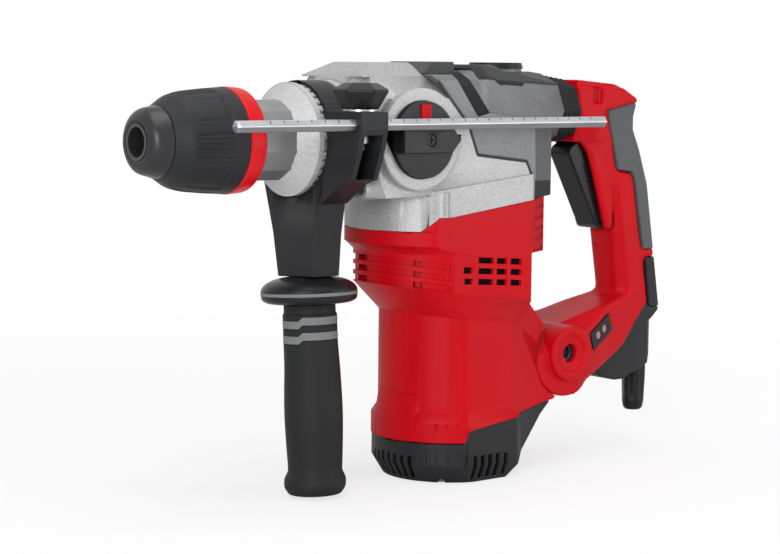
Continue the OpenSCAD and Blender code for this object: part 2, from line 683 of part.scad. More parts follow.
module motor_shape() {
    // Collar under the silver skirt, with a bevel down to the rib field
    translate([0, 0, -68]) linear_extrude(34) upper_plan(collar_arc_r, skirt_w);
    intersection() {
        translate([collar_arc_x, 0, -73.5]) cylinder(h = 5.6, r1 = rib_arc_r, r2 = collar_arc_r);
        box(0, collar_arc_x, -skirt_w, skirt_w, -100, -60);
    }
    // Block at the back corners
    intersection() {
        translate([0, 0, -76]) linear_extrude(10) upper_plan(rib_arc_r, skirt_w);
        box(262, far, -far, far, -far, far);
    }
    // Rib field, cut off on a slant
    intersection() {
        translate([0, 0, -120]) linear_extrude(55) upper_plan(rib_arc_r, skirt_w, 290, 17);
        slant_slab(rib_x, rib_end_z, far);
    }
    // Bevel from the rib field to the motor can
    hull() {
        intersection() {
            translate([0, 0, -130]) linear_extrude(80)
                upper_plan(rib_arc_r - 0.4, skirt_w - 0.4, 289.6, 17, $fn = 48);
            slant_slab(rib_x, rib_end_z, 0.2);
        }
        intersection() {
            translate([0, 0, -150]) linear_extrude(80) can_plan(can_r, can_w, $fn = 48);
            slant_slab(rib_x, rib_end_z - bevel_h, 0.2);
        }
    }
    translate([0, 0, -186]) linear_extrude(80) can_plan(can_r, can_w);
    // Flare down to the rim that meets the base cap
    hull() {
        translate([0, 0, -178]) linear_extrude(0.2) can_plan(can_r, can_w, $fn = 48);
        translate([0, 0, -185]) linear_extrude(0.2) can_plan(base_arc_r, base_w, $fn = 48);
    }
    translate([0, 0, -200]) linear_extrude(15.1) can_plan(base_arc_r, base_w);
    // Raised ramp at the front, above the rim
    intersection() {
        translate([motor_x, 0, -183.5]) cylinder(h = 16, r1 = can_r + 3.4, r2 = can_r + 1);
        box(0, motor_x - 20, -20.5, 20.5, -200, -100);
    }
    // Yoke that reaches back to the handle pivot
    difference() {
        intersection() {
            along_y(-far / 4, far / 4) yoke_side();
            translate([0, 0, -210]) linear_extrude(120) yoke_plan();
        }
        rod_y(pivot_x, pivot_z, -far / 4, far / 4, swing_r + 0.8);
    }
}

module motor_housing() color("#c4161c") {
    difference() {
        motor_shape();
        above(motor_seam, -0.2);
        below(base_seam, 0);
        rod_z(motor_x, 0, -far, plate_z + 1, motor_bore_r);
        // Pocket that the bearing plate drops into
        translate([0, 0, plate_z]) linear_extrude(60) pocket_plan(0);
        for (p = screw_spots) rod_z(p[0], p[1], -far, p[2] + 0.3, 1.5 + fit);
        // Cooling slots in both side panels
        for (s = side_slots) translate([motor_x, 0, slot_z - s[2] * slot_pitch]) rotate([0, slot_slant, 0])
            box(s[0], s[1], -far, far, -slot_h, 0);
        // Grooves and short slots around the ribbed front
        for (row = [0 : 2]) intersection() {
            union() {
                intersection() {
                    ring_z(collar_arc_x, 0, -120, -60, collar_arc_r + 5, rib_arc_r - 1.4);
                    box(0, collar_arc_x - 16, -far, far, -far, far);
                }
                for (a = [[-12, 6.2], [44, 2.6], [-44, 2.6]])
                    translate([collar_arc_x, 0, 0]) rotate(180 + a[0])
                        box(rib_arc_r - 5, rib_arc_r + 5, -a[1], a[1], -120, -60);
            }
            slant_slab(rib_x, rib_row_z - row * rib_row_pitch - slot_h / 2, slot_h);
        }
        // Ribs at the back corners
        for (row = [0 : 4]) for (s = [-1, 1])
            translate([casing_x1 - 9, s * (skirt_w - 5), -75 + row * 7]) rotate(s * -26.5)
                translate([-8, -3 - s * -2, 0]) cube([18, 6, 2.6]);
    }
    // Tongue that the handle swings on
    difference() {
        union() {
            rod_y(pivot_x, pivot_z, -tongue_w, tongue_w, 12.5);
            box(motor_x + motor_bore_r + 4, pivot_x, -tongue_w, tongue_w, pivot_z - 12, pivot_z + 8);
        }
        rod_y(pivot_x, pivot_z, -far / 4, far / 4, pivot_r + fit);
    }
}

module base_cap() color("#222326") {
    difference() {
        intersection() {
            union() {
                translate([0, 0, base_z]) linear_extrude(50) can_plan(base_arc_r - 0.6, base_w - 0.5);
                translate([0, 0, base_z]) linear_extrude(60) yoke_plan();
            }
            // Bevelled foot: the walls draw in towards the base
            union() {
                translate([motor_x, 0, base_z]) cylinder(h = 13, r1 = base_arc_r - 8, r2 = base_arc_r);
                box(0, far, -far / 4, far / 4, base_z + 13 - eps, 0);
                box(motor_x, far, -far / 4, far / 4, base_z, 0);
            }
            along_x(0, far) polygon([[-base_w + 5, base_z], [base_w - 5, base_z], [base_w, base_z + 13],
                [base_w, 0], [-base_w, 0], [-base_w, base_z + 13]]);
            // The back is cut off on a slant under the yoke
            along_y(-far / 4, far / 4) polygon([[0, base_z], [motor_x + 16, base_z],
                [motor_x + 22, base_z + 6], [308, -180], [308, 0], [0, 0]]);
        }
        above(base_seam, -seam);
        intersection() {
            rod_z(motor_x, 0, base_z + 4, 0, motor_bore_r);
            along_y(-far / 4, far / 4) polygon([
                [0, -far], [motor_x + 12, base_z], [308, -171], [308, 0], [0, 0]]);
        }
        // Slots through the walls at the front and both sides
        for (i = [-3 : 3]) translate([motor_x, 0, 0]) rotate(180 + i * 6.8)
            box(motor_bore_r - 1, far / 4, -1.4, 1.4, base_z + 2.4, base_z + 17.5);
        for (i = [0 : 4]) for (s = [0, 1]) mirror([0, s, 0])
            box(motor_x - 16 + i * 6.6, motor_x - 12.8 + i * 6.6, 25, far, base_z + 2.4, base_z + 17.5);
        for (p = screw_spots) {
            rod_z(p[0], p[1], base_z - 1, base_z + 3, 2.6 + fit);
            rod_z(p[0], p[1], base_z - 1, 0, 1.5 + fit);
        }
    }
    // Post that holds the lower motor bearing
    difference() {
        rod_z(motor_x, 0, base_z + 3, -192.5, 15);
        rod_z(motor_x, 0, -201 - fit, 0, 11 + fit);
        rod_z(motor_x, 0, -206, 0, shaft_r + 1);
    }
}

// Screws at the barrel flange and under the base
module housing_screws() color("#4a4c50") {
    for (a = [45 : 90 : 315]) rotate([a, 0, 0]) translate([0, 0, flange_r - 3.6]) difference() {
        union() {
            rod_x(barrel_x1 - flange_w + 0.4, barrel_x1 - 3, 2.7 - fit);
            rod_x(barrel_x1 - 3.5, barrel_x1 + 7, 1.6 - fit);
        }
        translate([barrel_x1 - flange_w, 0, 0]) rotate([0, 90, 0]) cylinder(h = 2, r = 1.5, $fn = 6);
    }
    for (p = screw_spots) difference() {
        union() {
            rod_z(p[0], p[1], base_z + 0.8, base_z + 3, 2.6);
            rod_z(p[0], p[1], base_z + 2, p[2], 1.5);
        }
        translate([p[0], p[1], base_z]) cylinder(h = 2.2, r = 1.5, $fn = 6);
    }
}

// The selector
module selector_knob() color("#25262a") difference() {
    union() {
        rod_y(knob_x, knob_z, disc_y, knob_y + 3 - 0.2, knob_r);
        translate([knob_x, 0, knob_z]) along_y(bar_y, disc_y + eps)
            polygon([[-22.5, -8], [17.6, -8], [knob_r + 0.6, 0], [17.6, 8], [-22.5, 8]]);
        rod_y(knob_x, knob_z, knob_y + 2, -34, 7);
    }
    rod_y(knob_x, knob_z, bar_y - 1, bar_y + 3, 3.6);
    rod_y(knob_x, knob_z, bar_y - 1, bar_y + 14, 1.8);
    box(knob_x - 4.2, knob_x + 4.2, disc_y - 1, disc_y + 4.5, knob_z + 9.6, knob_z + 22.4);
}

module selector_button() color("#d01a1f")
    box(knob_x - 4.2 + 0.2, knob_x + 4.2 - 0.2, disc_y - 1.2, disc_y + 4.5 - button_travel - 0.2,
        knob_z + 9.8, knob_z + 22.2);

module selector_screw() color("#6a6c70") difference() {
    union() {
        rod_y(knob_x, knob_z, bar_y + 0.8, bar_y + 3, 3.6 - fit);
        rod_y(knob_x, knob_z, bar_y + 2.5, bar_y + 13, 1.8 - fit);
    }
    for (a = [0, 90]) translate([knob_x, bar_y, knob_z]) rotate([0, a, 0]) cube([4, 4, 0.9], center = true);
}

// The rear handle
handle_back = [[383, 35], [402, 25], [403.5, 20], [401, 12], [401, 3], [408, -12], [418, -40], [425, -66],
    [429, -83], [431, -126]];
pad_edge_upper = [[414, -82.5], [404, -33], [401, -27], [387, -25], [377.5, 6], [375.5, 17]];
pad_edge_lower = [[421.5, -124], [416, -88.5]];

module grip_side() polygon(concat([[handle_x0, 38]], handle_back, [
    [423, -135], [400, -147], [386, -116], [388.7, -106], [388.7, -75], [386, -72.5], [377.5, -70.8],
    [377.5, -67], [358, -11], [352, -4], [handle_x0, -5]]));
module grip_bevel(x0, z0, x1, z1, w, d, c) {
    // A bevelled bar from one point to another, d deep and 2 w wide
    a = atan2(z1 - z0, x1 - x0);
    l = norm([x1 - x0, z1 - z0]);
    translate([x0, 0, z0]) rotate([0, -a, 0]) along_x(0, l) polygon([
        [-w + c, -d], [w - c, -d], [w, -d + c], [w, d - c], [w - c, d], [-w + c, d], [-w, d - c],
        [-w, -d + c]]);
}
module grip_shape(grow = 0) intersection() {
    along_y(-grip_w - grow, grip_w + grow) grip_side();
    union() {
        grip_bevel(373, 60, 399, -20, grip_w + grow + 1, 31, 7);
        grip_bevel(394, 10, 421, -150, grip_w + grow + 1, 20.8, 8);
        box(300, 384, -grip_w - 2, grip_w + 2, -68, 60);
    }
}
module arm_side() intersection() {
    union() {
        polygon([[pivot_x, -112], [405, -100], [431, -118], [432, -127], [423, -135], [389, -153.5],
            [367, -162], [pivot_x - 3, -177.8]]);
        translate([pivot_x, pivot_z]) circle(swing_r);
    }
    polygon([[280, -139.9], [arm_end, arm_top_z], [450, -101], [450, -250], [280, -250]]);
}
// Slanted top of the arm with bevelled edges
module arm_roof() grip_bevel(280, -139.9 - 32.8, arm_end, arm_top_z - 32.8, arm_w, 32, 12);
arm_end = 460;
arm_top_z = -139.9 + 0.228 * (arm_end - 280);
module arm_plan() polygon([
    [pivot_x - 40, -arm_w], [pivot_x + 10, -arm_w], [pivot_x + 50, -arm_w + 11], [405, -grip_w],
    [440, -grip_w], [440, grip_w], [405, grip_w], [pivot_x + 50, arm_w - 11],
    [pivot_x + 10, arm_w], [pivot_x - 40, arm_w]]);
module upper_pad_region() polygon(concat([[412.5, 22]],
    [for (p = handle_back) if (p[1] < 22 && p[1] > -80) p + [9, 0]],
    [[438, pad_edge_upper[0][1]]], pad_edge_upper, [[399, 22]]));
module lower_pad_region() polygon(concat([[440, -88.5], [445, -124]], pad_edge_lower));

module rear_handle() color("#c4161c") difference() {
    union() {
        grip_shape();
        // Wider head that meets the bellows
        intersection() {
            along_x(handle_x0, 402) polygon([
                [-head_w, -5], [head_w, -5], [head_w, 31.5], [head_w - 10.5, 38], [10.5 - head_w, 38],
                [-head_w, 31.5]]);
            along_y(-far / 4, far / 4) polygon([
                [handle_x0, 38], [383, 35], [402, 25], [402, 21], [372, 17], [360, -5], [handle_x0, -5]]);
        }
        intersection() {
            along_y(-far / 4, far / 4) arm_side();
            translate([0, 0, -200]) linear_extrude(120) arm_plan();
            arm_roof();
        }
        rod_y(pivot_x, pivot_z, -arm_w - 4.5, arm_w + 4.5, 19);
    }
    along_y(-far / 4, far / 4) upper_pad_region();
    along_y(-far / 4, far / 4) lower_pad_region();
    // Slot for the housing's tongue, and the pivot bore
    rod_y(pivot_x, pivot_z, -tongue_w - 0.5, tongue_w + 0.5, 13.5);
    box(pivot_x - 60, pivot_x, -tongue_w - 0.5, tongue_w + 0.5, pivot_z - 14.5, pivot_z + 10.5);
    rod_y(pivot_x, pivot_z, -arm_w + 2, arm_w - 2, pivot_r + run);
    rod_y(pivot_x, pivot_z, -far / 4, far / 4, 6.2);
    for (y = [-arm_w - 5, arm_w + 2.5]) rod_y(pivot_x, pivot_z, y, y + 2.5, 12.8);
    // Pocket for the trigger, and the place of the switch above it
    along_y(-trigger_w - 0.5, trigger_w + 0.5) polygon([
        [335, -5.5], [348, -5.5], [350, 4.5], [364, 4.5], [371, -8], [391.5, -64], [379, -69.5], [350, -64]]);
    box(350 - fit, 370 + fit, -switch_w - fit, switch_w + fit, 9 - fit, 25 + fit);
    rod_y(trigger_x, trigger_z, -grip_w + 2, grip_w - 2, 2 + fit);
    // Recess for the lamp window
    lamp_place() box(-14 - fit, 14 + fit, -4, 2.2, -6.5 - fit, 6.5 + fit);
    // Lower edges of the head, drawn in towards the trigger
    for (s = [0, 1]) mirror([0, s, 0]) translate([handle_x0, 0, 0]) rotate(-8) along_x(-10, 45) polygon([
        [-40, 17.8], [-head_w, 17.8], [-12.6, -6], [-12.6, -20], [-40, -20]]);
    // Slot in the side of the head
    box(359.3, 368.2, -far, -head_w + 4.5, 21.5, 33);
}
module lamp_place() translate([pivot_x + 40, -arm_w + 8.25, -137.5])
    rotate([0, 0, 15.4]) rotate([0, -25, 0]) children();

module grip_pads() color("#4a4c50") {
    intersection() {
        grip_shape(0.5);
        translate([seam, 0, 0]) along_y(-far / 4, far / 4) upper_pad_region();
    }
    intersection() {
        grip_shape(0.5);
        translate([seam, 0, 0]) along_y(-far / 4, far / 4) lower_pad_region();
    }
}

module handle_bellows() color("#1d1e20") translate([0, 0, duct_z]) spin_x(concat(
    [[bellows_r - 5, duct_x1 + 0.1], [bellows_r, duct_x1 + 0.1]],
    [for (i = [0 : 3]) for (p = [[0, 2.4], [-1.8, 3.2], [-1.8, 3.9], [0, 4.7]])
        [bellows_r + p[0], duct_x1 + i * (bellows_x1 - duct_x1) / 4 + p[1] * (bellows_x1 - duct_x1) / 19]],
    [[bellows_r - 5, bellows_x1 - 0.1]]));

module pivot_pin() color("#303134") difference() {
    rod_y(pivot_x, pivot_z, -arm_w + 2.2, arm_w - 2.2, pivot_r);
    for (s = [-1, 1]) translate([pivot_x, s * (arm_w - 2.2), pivot_z]) rotate([90, 0, 0])
        cylinder(h = 8, r = 4.5, $fn = 6, center = true);
}

module trigger() color("#2c2d31") difference() {
    union() {
        along_y(-trigger_w, trigger_w) polygon([
            [344.5, -13], [347, -8.5], [352, -5.5], [353, 0], [361, 0], [361, -10], [379, -64], [377, -67],
            [373, -64.5]]);
        rod_y(trigger_x, trigger_z, -trigger_w, trigger_w, 4.5);
    }
    rod_y(trigger_x, trigger_z, -far / 4, far / 4, 2 + run);
}

module trigger_pin() color("#8d9094") rod_y(trigger_x, trigger_z, -grip_w + 2.2, grip_w - 2.2, 2);

module switch_block() color("#3b3c40") box(350, 370, -switch_w, switch_w, 9, 25);

module lamp_window() color("#3a3032") lamp_place() difference() {
    box(-14, 14, -0.5, 2.2 - fit, -6.5, 6.5);
    for (x = [-4.5, 4.5]) translate([x, 0, 0]) rotate([90, 0, 0]) cylinder(h = 2, r = 3, center = true);
}

module cord_gland() color("#202124") difference() {
    intersection() {
        along_y(-13, 13) polygon([
            [371.5, -160.6], [389, -153.8], [423, -135.3], [431.4, -127.9], [436, -131.4], [436, -157],
            [428, -166], [409, -172], [402, -175.5], [392, -175.5], [378, -172], [371.5, -166]]);
        translate([0, 0, -200]) linear_extrude(100) polygon([
            [360, -13], [412, -13], [427, -10.5], [433, -6], [435.5, 0], [433, 6], [427, 10.5], [412, 13],
            [360, 13]]);
    }
    rod_z(cord_x, 0, -far, -150, cord_outer_r + fit);
}

module cord_guard() color("#1a1b1d") translate([cord_x, 0, 0]) rotate_extrude() polygon([
    [cord_r, -150.2], [cord_outer_r, -150.2], [cord_outer_r, -176], [cord_outer_r - 0.8, -195],
    [cord_outer_r - 2, -199.5], [cord_outer_r - 3.4, -201], [cord_r, -201]]);

// The side handle. Its arm and grip lean a little towards the knob side.
module leaned() rotate([-side_angle, 0, 0]) children();

module side_clamp() color("#26272a") difference() {
    union() {
        rod_x(band_x0, band_x1, seat_r + 6.8);
        // Arm
        leaned() along_x(arm_x0, band_x1 - 0.5) polygon([
            [-30, -26], [30, -26], [22, -58], [18, -86], [-18, -86], [-22, -58]]);
        // Block and ears that hold the depth rod
        along_x(arm_x0 + 0.8, band_x1) polygon([
            [rod_y - 7, 18.5], [rod_y - 7, 8], [rod_y - 5, -2], [rod_y + 3, -23], [-49, -26], [-30, -39],
            [-10, -36], [-10, 18.5]]);
    }
    rod_x(0, far, seat_r + run);
    rod_x(0, band_x0, disc_r + 0.8);
    // Recess between the two ears
    along_x(arm_x0 + 4.5, band_x1 - 3.5)
        polygon([[-far, 4.4], [-46, 4.4], [-43, -20], [-48, -22.5], [-far, -22.5]]);
    // Hexagonal way for the depth rod
    translate([0, rod_y, rod_z]) rotate([90, 0, 90]) cylinder(h = far, r = rod_r + run, $fn = 6);
    rod_z(knob_screw_x, knob_screw_y, -10, 40, 3 + run);
    leaned() rod_z(side_x, 0, -90, -46, 5 + fit);
}

module grip_stud() color("#8d9094") leaned() rod_z(side_x, 0, -130, -46.2, 5);

module clamp_bolt() color("#c9ccd0") translate([knob_screw_x, knob_screw_y, 0]) {
    rod_z(0, 0, -5, 24, 3);
    rod_z(0, 0, 18.6, 20, 11);
    translate([0, 0, -0.7]) cylinder(h = 5, r = 5.2, $fn = 6);
}

module clamp_knob() color("#232427") translate([knob_screw_x, knob_screw_y, 0]) difference() {
    hull() {
        translate([0, 0, 20.1]) rotate(knob_turn) cylinder(h = 0.5, r = 11.5, $fn = 6);
        translate([0, 0, 30.5]) rotate(knob_turn) cylinder(h = 1.5, r = 17.3, $fn = 6);
        translate([0, 0, 35.5]) rotate(knob_turn) cylinder(h = 0.5, r = 10, $fn = 6);
    }
    cylinder(h = 24.1, r = 3 + fit);
}

module depth_rod() color("#c4c8cc") translate([rod_x0, rod_y, rod_z]) rotate([90, 0, 90])
    cylinder(h = depth_rod_len, r = rod_r, $fn = 6);

module guard_disc() color("#202124") leaned() translate([side_x, 0, 0]) rotate_extrude() polygon([
    [5 + run, -86.3], [15, -86.3], [23, -88], [28.5, -91], [guard_r, -94.2], [guard_r, -95.4],
    [guard_r - 2.5, -95.4], [guard_r - 2.5, -97.8], [guard_r, -97.8], [guard_r - 0.4, -100.6],
    [guard_r - 3.5, -102.6], [17, -103.4], [5 + run, -103.4]]);

module guard_trim() color("#8f9296") leaned() translate([side_x, 0, 0]) rotate_extrude() polygon([
    [guard_r - 2.5 + fit, -97.8 + fit], [guard_r + 0.3, -97.8 + fit], [guard_r + 0.3, -95.4 - fit],
    [guard_r - 2.5 + fit, -95.4 - fit]]);

grip_profile = [[16.4, -103.5], [16.4, -109], [17.2, -110], [17.2, -128], [17.4, -140], [grip_r, -170],
    [grip_r - 0.6, -188], [grip_r - 1.5, -208], [grip_r - 1.3, -210], [grip_end_r, -214],
    [grip_end_r, -219.5], [grip_end_r - 3, grip_end_z]];
stripe_z = [-116, -125.5];
module side_grip() color("#242528") leaned() translate([side_x, 0, 0]) difference() {
    rotate_extrude() polygon(concat([[0, -103.5]], grip_profile, [[0, grip_end_z]]));
    translate([0, 0, -131]) cylinder(h = 40, r = 5 + run);
    for (z = stripe_z)
        rotate_extrude() polygon([[15.6, z], [20, z], [20, z + stripe_h], [15.6, z + stripe_h]]);
}

module grip_stripes() color("#77797d") leaned() translate([side_x, 0, 0]) for (z = stripe_z)
    rotate_extrude() polygon([[15.6 + fit, z + fit], [17.4, z + fit], [17.4, z + stripe_h - fit],
        [15.6 + fit, z + stripe_h - fit]]);

dust_cap();
chuck_sleeve();
chuck_ring();
tool_holder();
locking_rollers();
sleeve_spring();
front_seal();
needle_bearing();
spindle_bearing();
crown_gear();
barrel_neck();
housing_screws();
impact_bolt();
ram();
piston();
wrist_pin();
con_rod();
impact_cylinder();
crank_wheel();
lay_shaft();
gear_plate();
armature_shaft();
armature_core();
windings();
commutator();
cooling_fan();
motor_bearings();
stator();
field_coils();
brush_ring();
brush_holders();
carbon_brushes();
gear_housing();
crank_cover();
cover_wedge();
grease_cap();
motor_housing();
base_cap();
selector_knob();
selector_button();
selector_screw();
rear_handle();
grip_pads();
handle_bellows();
pivot_pin();
trigger();
trigger_pin();
switch_block();
lamp_window();
cord_gland();
cord_guard();
side_clamp();
grip_stud();
clamp_bolt();
clamp_knob();
depth_rod();
guard_disc();
guard_trim();
side_grip();
grip_stripes();
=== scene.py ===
# %% [markdown]
# # A rotary hammer, dressed over its solids
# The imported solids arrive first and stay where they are. Everything below is in metres in that
# same frame: the bit socket's mouth is the origin, the chuck looks along -X, and +Z is up.
# The box around the bare solids is kept, so that the dressed tool can be held against it at the end.

# %% Load the frame
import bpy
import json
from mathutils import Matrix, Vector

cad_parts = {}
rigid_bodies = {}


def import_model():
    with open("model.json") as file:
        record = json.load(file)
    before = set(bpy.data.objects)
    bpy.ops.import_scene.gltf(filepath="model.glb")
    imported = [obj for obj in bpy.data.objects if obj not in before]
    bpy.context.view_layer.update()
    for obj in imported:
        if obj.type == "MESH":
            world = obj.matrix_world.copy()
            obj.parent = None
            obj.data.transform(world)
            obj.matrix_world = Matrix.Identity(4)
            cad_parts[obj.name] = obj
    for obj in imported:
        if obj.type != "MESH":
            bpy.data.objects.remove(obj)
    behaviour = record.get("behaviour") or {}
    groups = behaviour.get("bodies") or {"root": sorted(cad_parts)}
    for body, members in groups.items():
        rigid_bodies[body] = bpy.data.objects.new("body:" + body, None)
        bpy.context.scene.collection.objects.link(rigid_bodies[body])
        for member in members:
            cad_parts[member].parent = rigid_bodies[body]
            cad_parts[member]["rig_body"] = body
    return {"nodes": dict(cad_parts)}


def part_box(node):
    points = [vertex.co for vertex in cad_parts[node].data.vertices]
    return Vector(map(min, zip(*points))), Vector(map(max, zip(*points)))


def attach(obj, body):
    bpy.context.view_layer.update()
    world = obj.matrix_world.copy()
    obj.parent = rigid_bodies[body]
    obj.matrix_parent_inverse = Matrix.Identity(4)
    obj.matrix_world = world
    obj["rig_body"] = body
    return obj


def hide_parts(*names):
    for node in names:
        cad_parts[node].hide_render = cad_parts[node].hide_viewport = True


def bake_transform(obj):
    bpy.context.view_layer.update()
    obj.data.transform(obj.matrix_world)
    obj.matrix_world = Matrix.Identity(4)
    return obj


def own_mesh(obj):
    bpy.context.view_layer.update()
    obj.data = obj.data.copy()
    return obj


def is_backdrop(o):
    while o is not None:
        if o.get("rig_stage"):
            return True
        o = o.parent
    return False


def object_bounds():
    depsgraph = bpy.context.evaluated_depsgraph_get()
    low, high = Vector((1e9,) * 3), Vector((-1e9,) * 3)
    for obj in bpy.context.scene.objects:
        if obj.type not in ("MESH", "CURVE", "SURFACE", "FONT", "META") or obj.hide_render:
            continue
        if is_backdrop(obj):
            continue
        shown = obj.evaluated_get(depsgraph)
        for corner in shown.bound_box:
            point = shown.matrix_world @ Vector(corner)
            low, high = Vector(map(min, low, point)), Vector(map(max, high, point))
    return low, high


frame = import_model()
cad_low, cad_high = [list(corner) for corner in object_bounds()]

import json
import math

import bmesh
import bpy
import numpy as np
from mathutils import Matrix, Vector

MM = 0.001
scene = bpy.context.scene

# %% [markdown]
# ## The camera
# The picture was taken from the front left, a little above the spindle, with a long lens. The
# place and the turn of the camera were worked out from points whose real places are known, so the
# camera is built from its direction: forward from a heading and a tilt, then right and up from that.

# %% Place the camera
EYE = np.array([-641.2, -1022.0, 47.4])
heading, tilt, roll = np.radians([50.74, 5.99, -0.59])
FOCAL_PIXELS, PICTURE_WIDTH, SENSOR_WIDTH = 2031.0, 780.0, 36.0
forward = np.array([math.cos(heading) * math.cos(tilt), math.sin(heading) * math.cos(tilt), -math.sin(tilt)])
level = np.array([math.sin(heading), -math.cos(heading), 0.0])
down = -np.cross(level, forward)
right = math.cos(roll) * level + math.sin(roll) * down
up = np.cross(right, forward)
camera_data = bpy.data.cameras.new("studio_camera")
camera_data.sensor_width = SENSOR_WIDTH
camera_data.lens = FOCAL_PIXELS / PICTURE_WIDTH * SENSOR_WIDTH
camera_data.clip_end = 50.0
camera = bpy.data.objects.new("studio_camera", camera_data)
turn = np.eye(4)
turn[:3, 0], turn[:3, 1], turn[:3, 2], turn[:3, 3] = right, up, -forward, EYE * MM
camera.matrix_world = Matrix(turn.tolist())
scene.collection.objects.link(camera)
scene.camera = camera
print("camera looks along", np.round(forward, 3))

# %% [markdown]
# ## Finishes
# A finish is a Principled shader whose colour, roughness and relief wander a little, as they do on
# a moulded or cast skin. All patterns read Object coordinates: they are in metres, so a pattern of
# 1 mm needs a scale of about 1000. Relief goes through a Bump node, which only tilts the light.

# %% Helpers for nodes
def wire(tree, kind, at=None, **values):
    """One shader node with its plain settings, and its sockets set or linked by name."""
    made = tree.nodes.new(kind)
    for key, value in values.items():
        if hasattr(made, key):
            setattr(made, key, value)
    for key, value in (at or {}).items():
        if isinstance(value, bpy.types.NodeSocket):
            tree.links.new(value, made.inputs[key])
        else:
            made.inputs[key].default_value = value
    return made


def blank_finish(name, colour, rough, metal=0.0, shine=0.5):
    """A material with its shader, its tree and the Object coordinates ready to be read."""
    material = bpy.data.materials.new(name)
    material.use_nodes = True
    tree = material.node_tree
    shader = tree.nodes["Principled BSDF"]
    shader.inputs["Base Color"].default_value = (*colour, 1.0)
    shader.inputs["Roughness"].default_value = rough
    shader.inputs["Metallic"].default_value = metal
    shader.inputs["Specular IOR Level"].default_value = shine
    place = wire(tree, "ShaderNodeTexCoord").outputs["Object"]
    material.diffuse_color = (*colour, 1.0)
    return material, tree, shader, place


print("node helpers ready")

# %% [markdown]
# ## Patterns
# Four helpers hide the wiring of a pattern: smooth noise, a change of range, a colour times a grey, and
# relief. Each takes sockets and gives sockets, so that a finish below reads as a few plain steps.

# %% Helpers for patterns
def wander(tree, place, scale, detail=2.0, stretch=None):
    """Smooth noise of about 1/scale metres, drawn out along an axis where stretch says so."""
    if stretch is not None:
        place = wire(tree, "ShaderNodeMapping", {"Vector": place, "Scale": stretch}).outputs["Vector"]
    noise = wire(tree, "ShaderNodeTexNoise", {"Vector": place, "Scale": scale, "Detail": detail})
    return noise.outputs["Fac"]


def spread(tree, value, low, high, start=0.3, stop=0.7):
    """The value between start and stop becomes a number between low and high."""
    made = wire(tree, "ShaderNodeMapRange", {"Value": value, "From Min": start, "From Max": stop,
                                            "To Min": low, "To Max": high})
    return made.outputs["Result"]


def tint(tree, shader, colour, amount):
    """The colour times a grey amount goes to the shader."""
    mix = wire(tree, "ShaderNodeVectorMath", operation="MULTIPLY")
    mix.inputs[0].default_value = colour
    tree.links.new(amount, mix.inputs[1])
    tree.links.new(mix.outputs["Vector"], shader.inputs["Base Color"])


def relief(tree, shader, height, depth, strength=1.0):
    """Height in the range 0 to 1 tilts the normal as if it were depth metres deep."""
    bump = wire(tree, "ShaderNodeBump", {"Height": height, "Distance": depth, "Strength": strength})
    tree.links.new(bump.outputs["Normal"], shader.inputs["Normal"])


print("pattern helpers ready")

# %% [markdown]
# ## Three kinds of skin
# Moulded plastic has an etched grain, a lacquered casting has bright flakes over a sandy skin, and ground
# metal has marks that are long one way. Photographs of surfaces could give these too, but patterns that
# are worked out have no seams and keep their size on every piece.

# %% Makers of finishes
def moulded(name, colour, rough, grain=1.0, depth=0.03, mottle=0.05, shine=0.5):
    """Moulded plastic: an etched grain of the given size in mm, cloudy colour and uneven gloss."""
    material, tree, shader, place = blank_finish(name, colour, rough, 0.0, shine)
    fine = wander(tree, place, 1000.0 / grain, 2.0)
    clouds = wander(tree, place, 26.0, 3.0)
    both = wire(tree, "ShaderNodeMath", {0: spread(tree, clouds, -mottle, mottle),
                                        1: spread(tree, fine, 1 - mottle, 1 + mottle)}, operation="ADD")
    tint(tree, shader, colour, both.outputs[0])
    tree.links.new(spread(tree, clouds, rough - 0.05, rough + 0.06), shader.inputs["Roughness"])
    relief(tree, shader, fine, depth * MM, 0.7)
    return material


def cast(name, colour, rough, metal=0.8, grain=1.1, depth=0.05, flake=0.2):
    """Blasted and lacquered casting: bright flakes in the lacquer over a sandy skin."""
    material, tree, shader, place = blank_finish(name, colour, rough, metal)
    sand = wander(tree, place, 1000.0 / grain, 3.0)
    cells = wire(tree, "ShaderNodeTexVoronoi", {"Vector": place, "Scale": 1400.0 / grain})
    flakes = wire(tree, "ShaderNodeSeparateColor", {"Color": cells.outputs["Color"]}).outputs["Red"]
    clouds = wander(tree, place, 18.0, 2.0)
    lit = wire(tree, "ShaderNodeMath", {0: spread(tree, flakes, 1 - flake, 1 + flake, 0.0, 1.0),
                                       1: spread(tree, clouds, -0.05, 0.05)}, operation="ADD")
    tint(tree, shader, colour, lit.outputs[0])
    tree.links.new(spread(tree, sand, rough - 0.07, rough + 0.09), shader.inputs["Roughness"])
    relief(tree, shader, sand, depth * MM, 0.8)
    return material


def machined(name, colour, rough, stretch, depth=0.006, metal=1.0, stain=0.08):
    """Ground or turned metal: marks that are long one way and short the other, and faint stains."""
    material, tree, shader, place = blank_finish(name, colour, rough, metal)
    marks = wander(tree, place, 1.0, 3.0, stretch)
    stains = wander(tree, place, 60.0, 3.0)
    lit = wire(tree, "ShaderNodeMath", {0: spread(tree, marks, 1 - stain, 1 + stain),
                                       1: spread(tree, stains, -stain, stain)}, operation="ADD")
    tint(tree, shader, colour, lit.outputs[0])
    tree.links.new(spread(tree, marks, rough - 0.06, rough + 0.08), shader.inputs["Roughness"])
    relief(tree, shader, marks, depth * MM, 0.6)
    return material


print("finish makers ready")

# %% [markdown]
# ## The finishes of this tool
# The shells are satin red nylon, the gear case is lacquered die-cast, its crank cover is dark grey,
# and the parts that hands hold are black. Inside there are steels, iron, copper, brass and carbon.

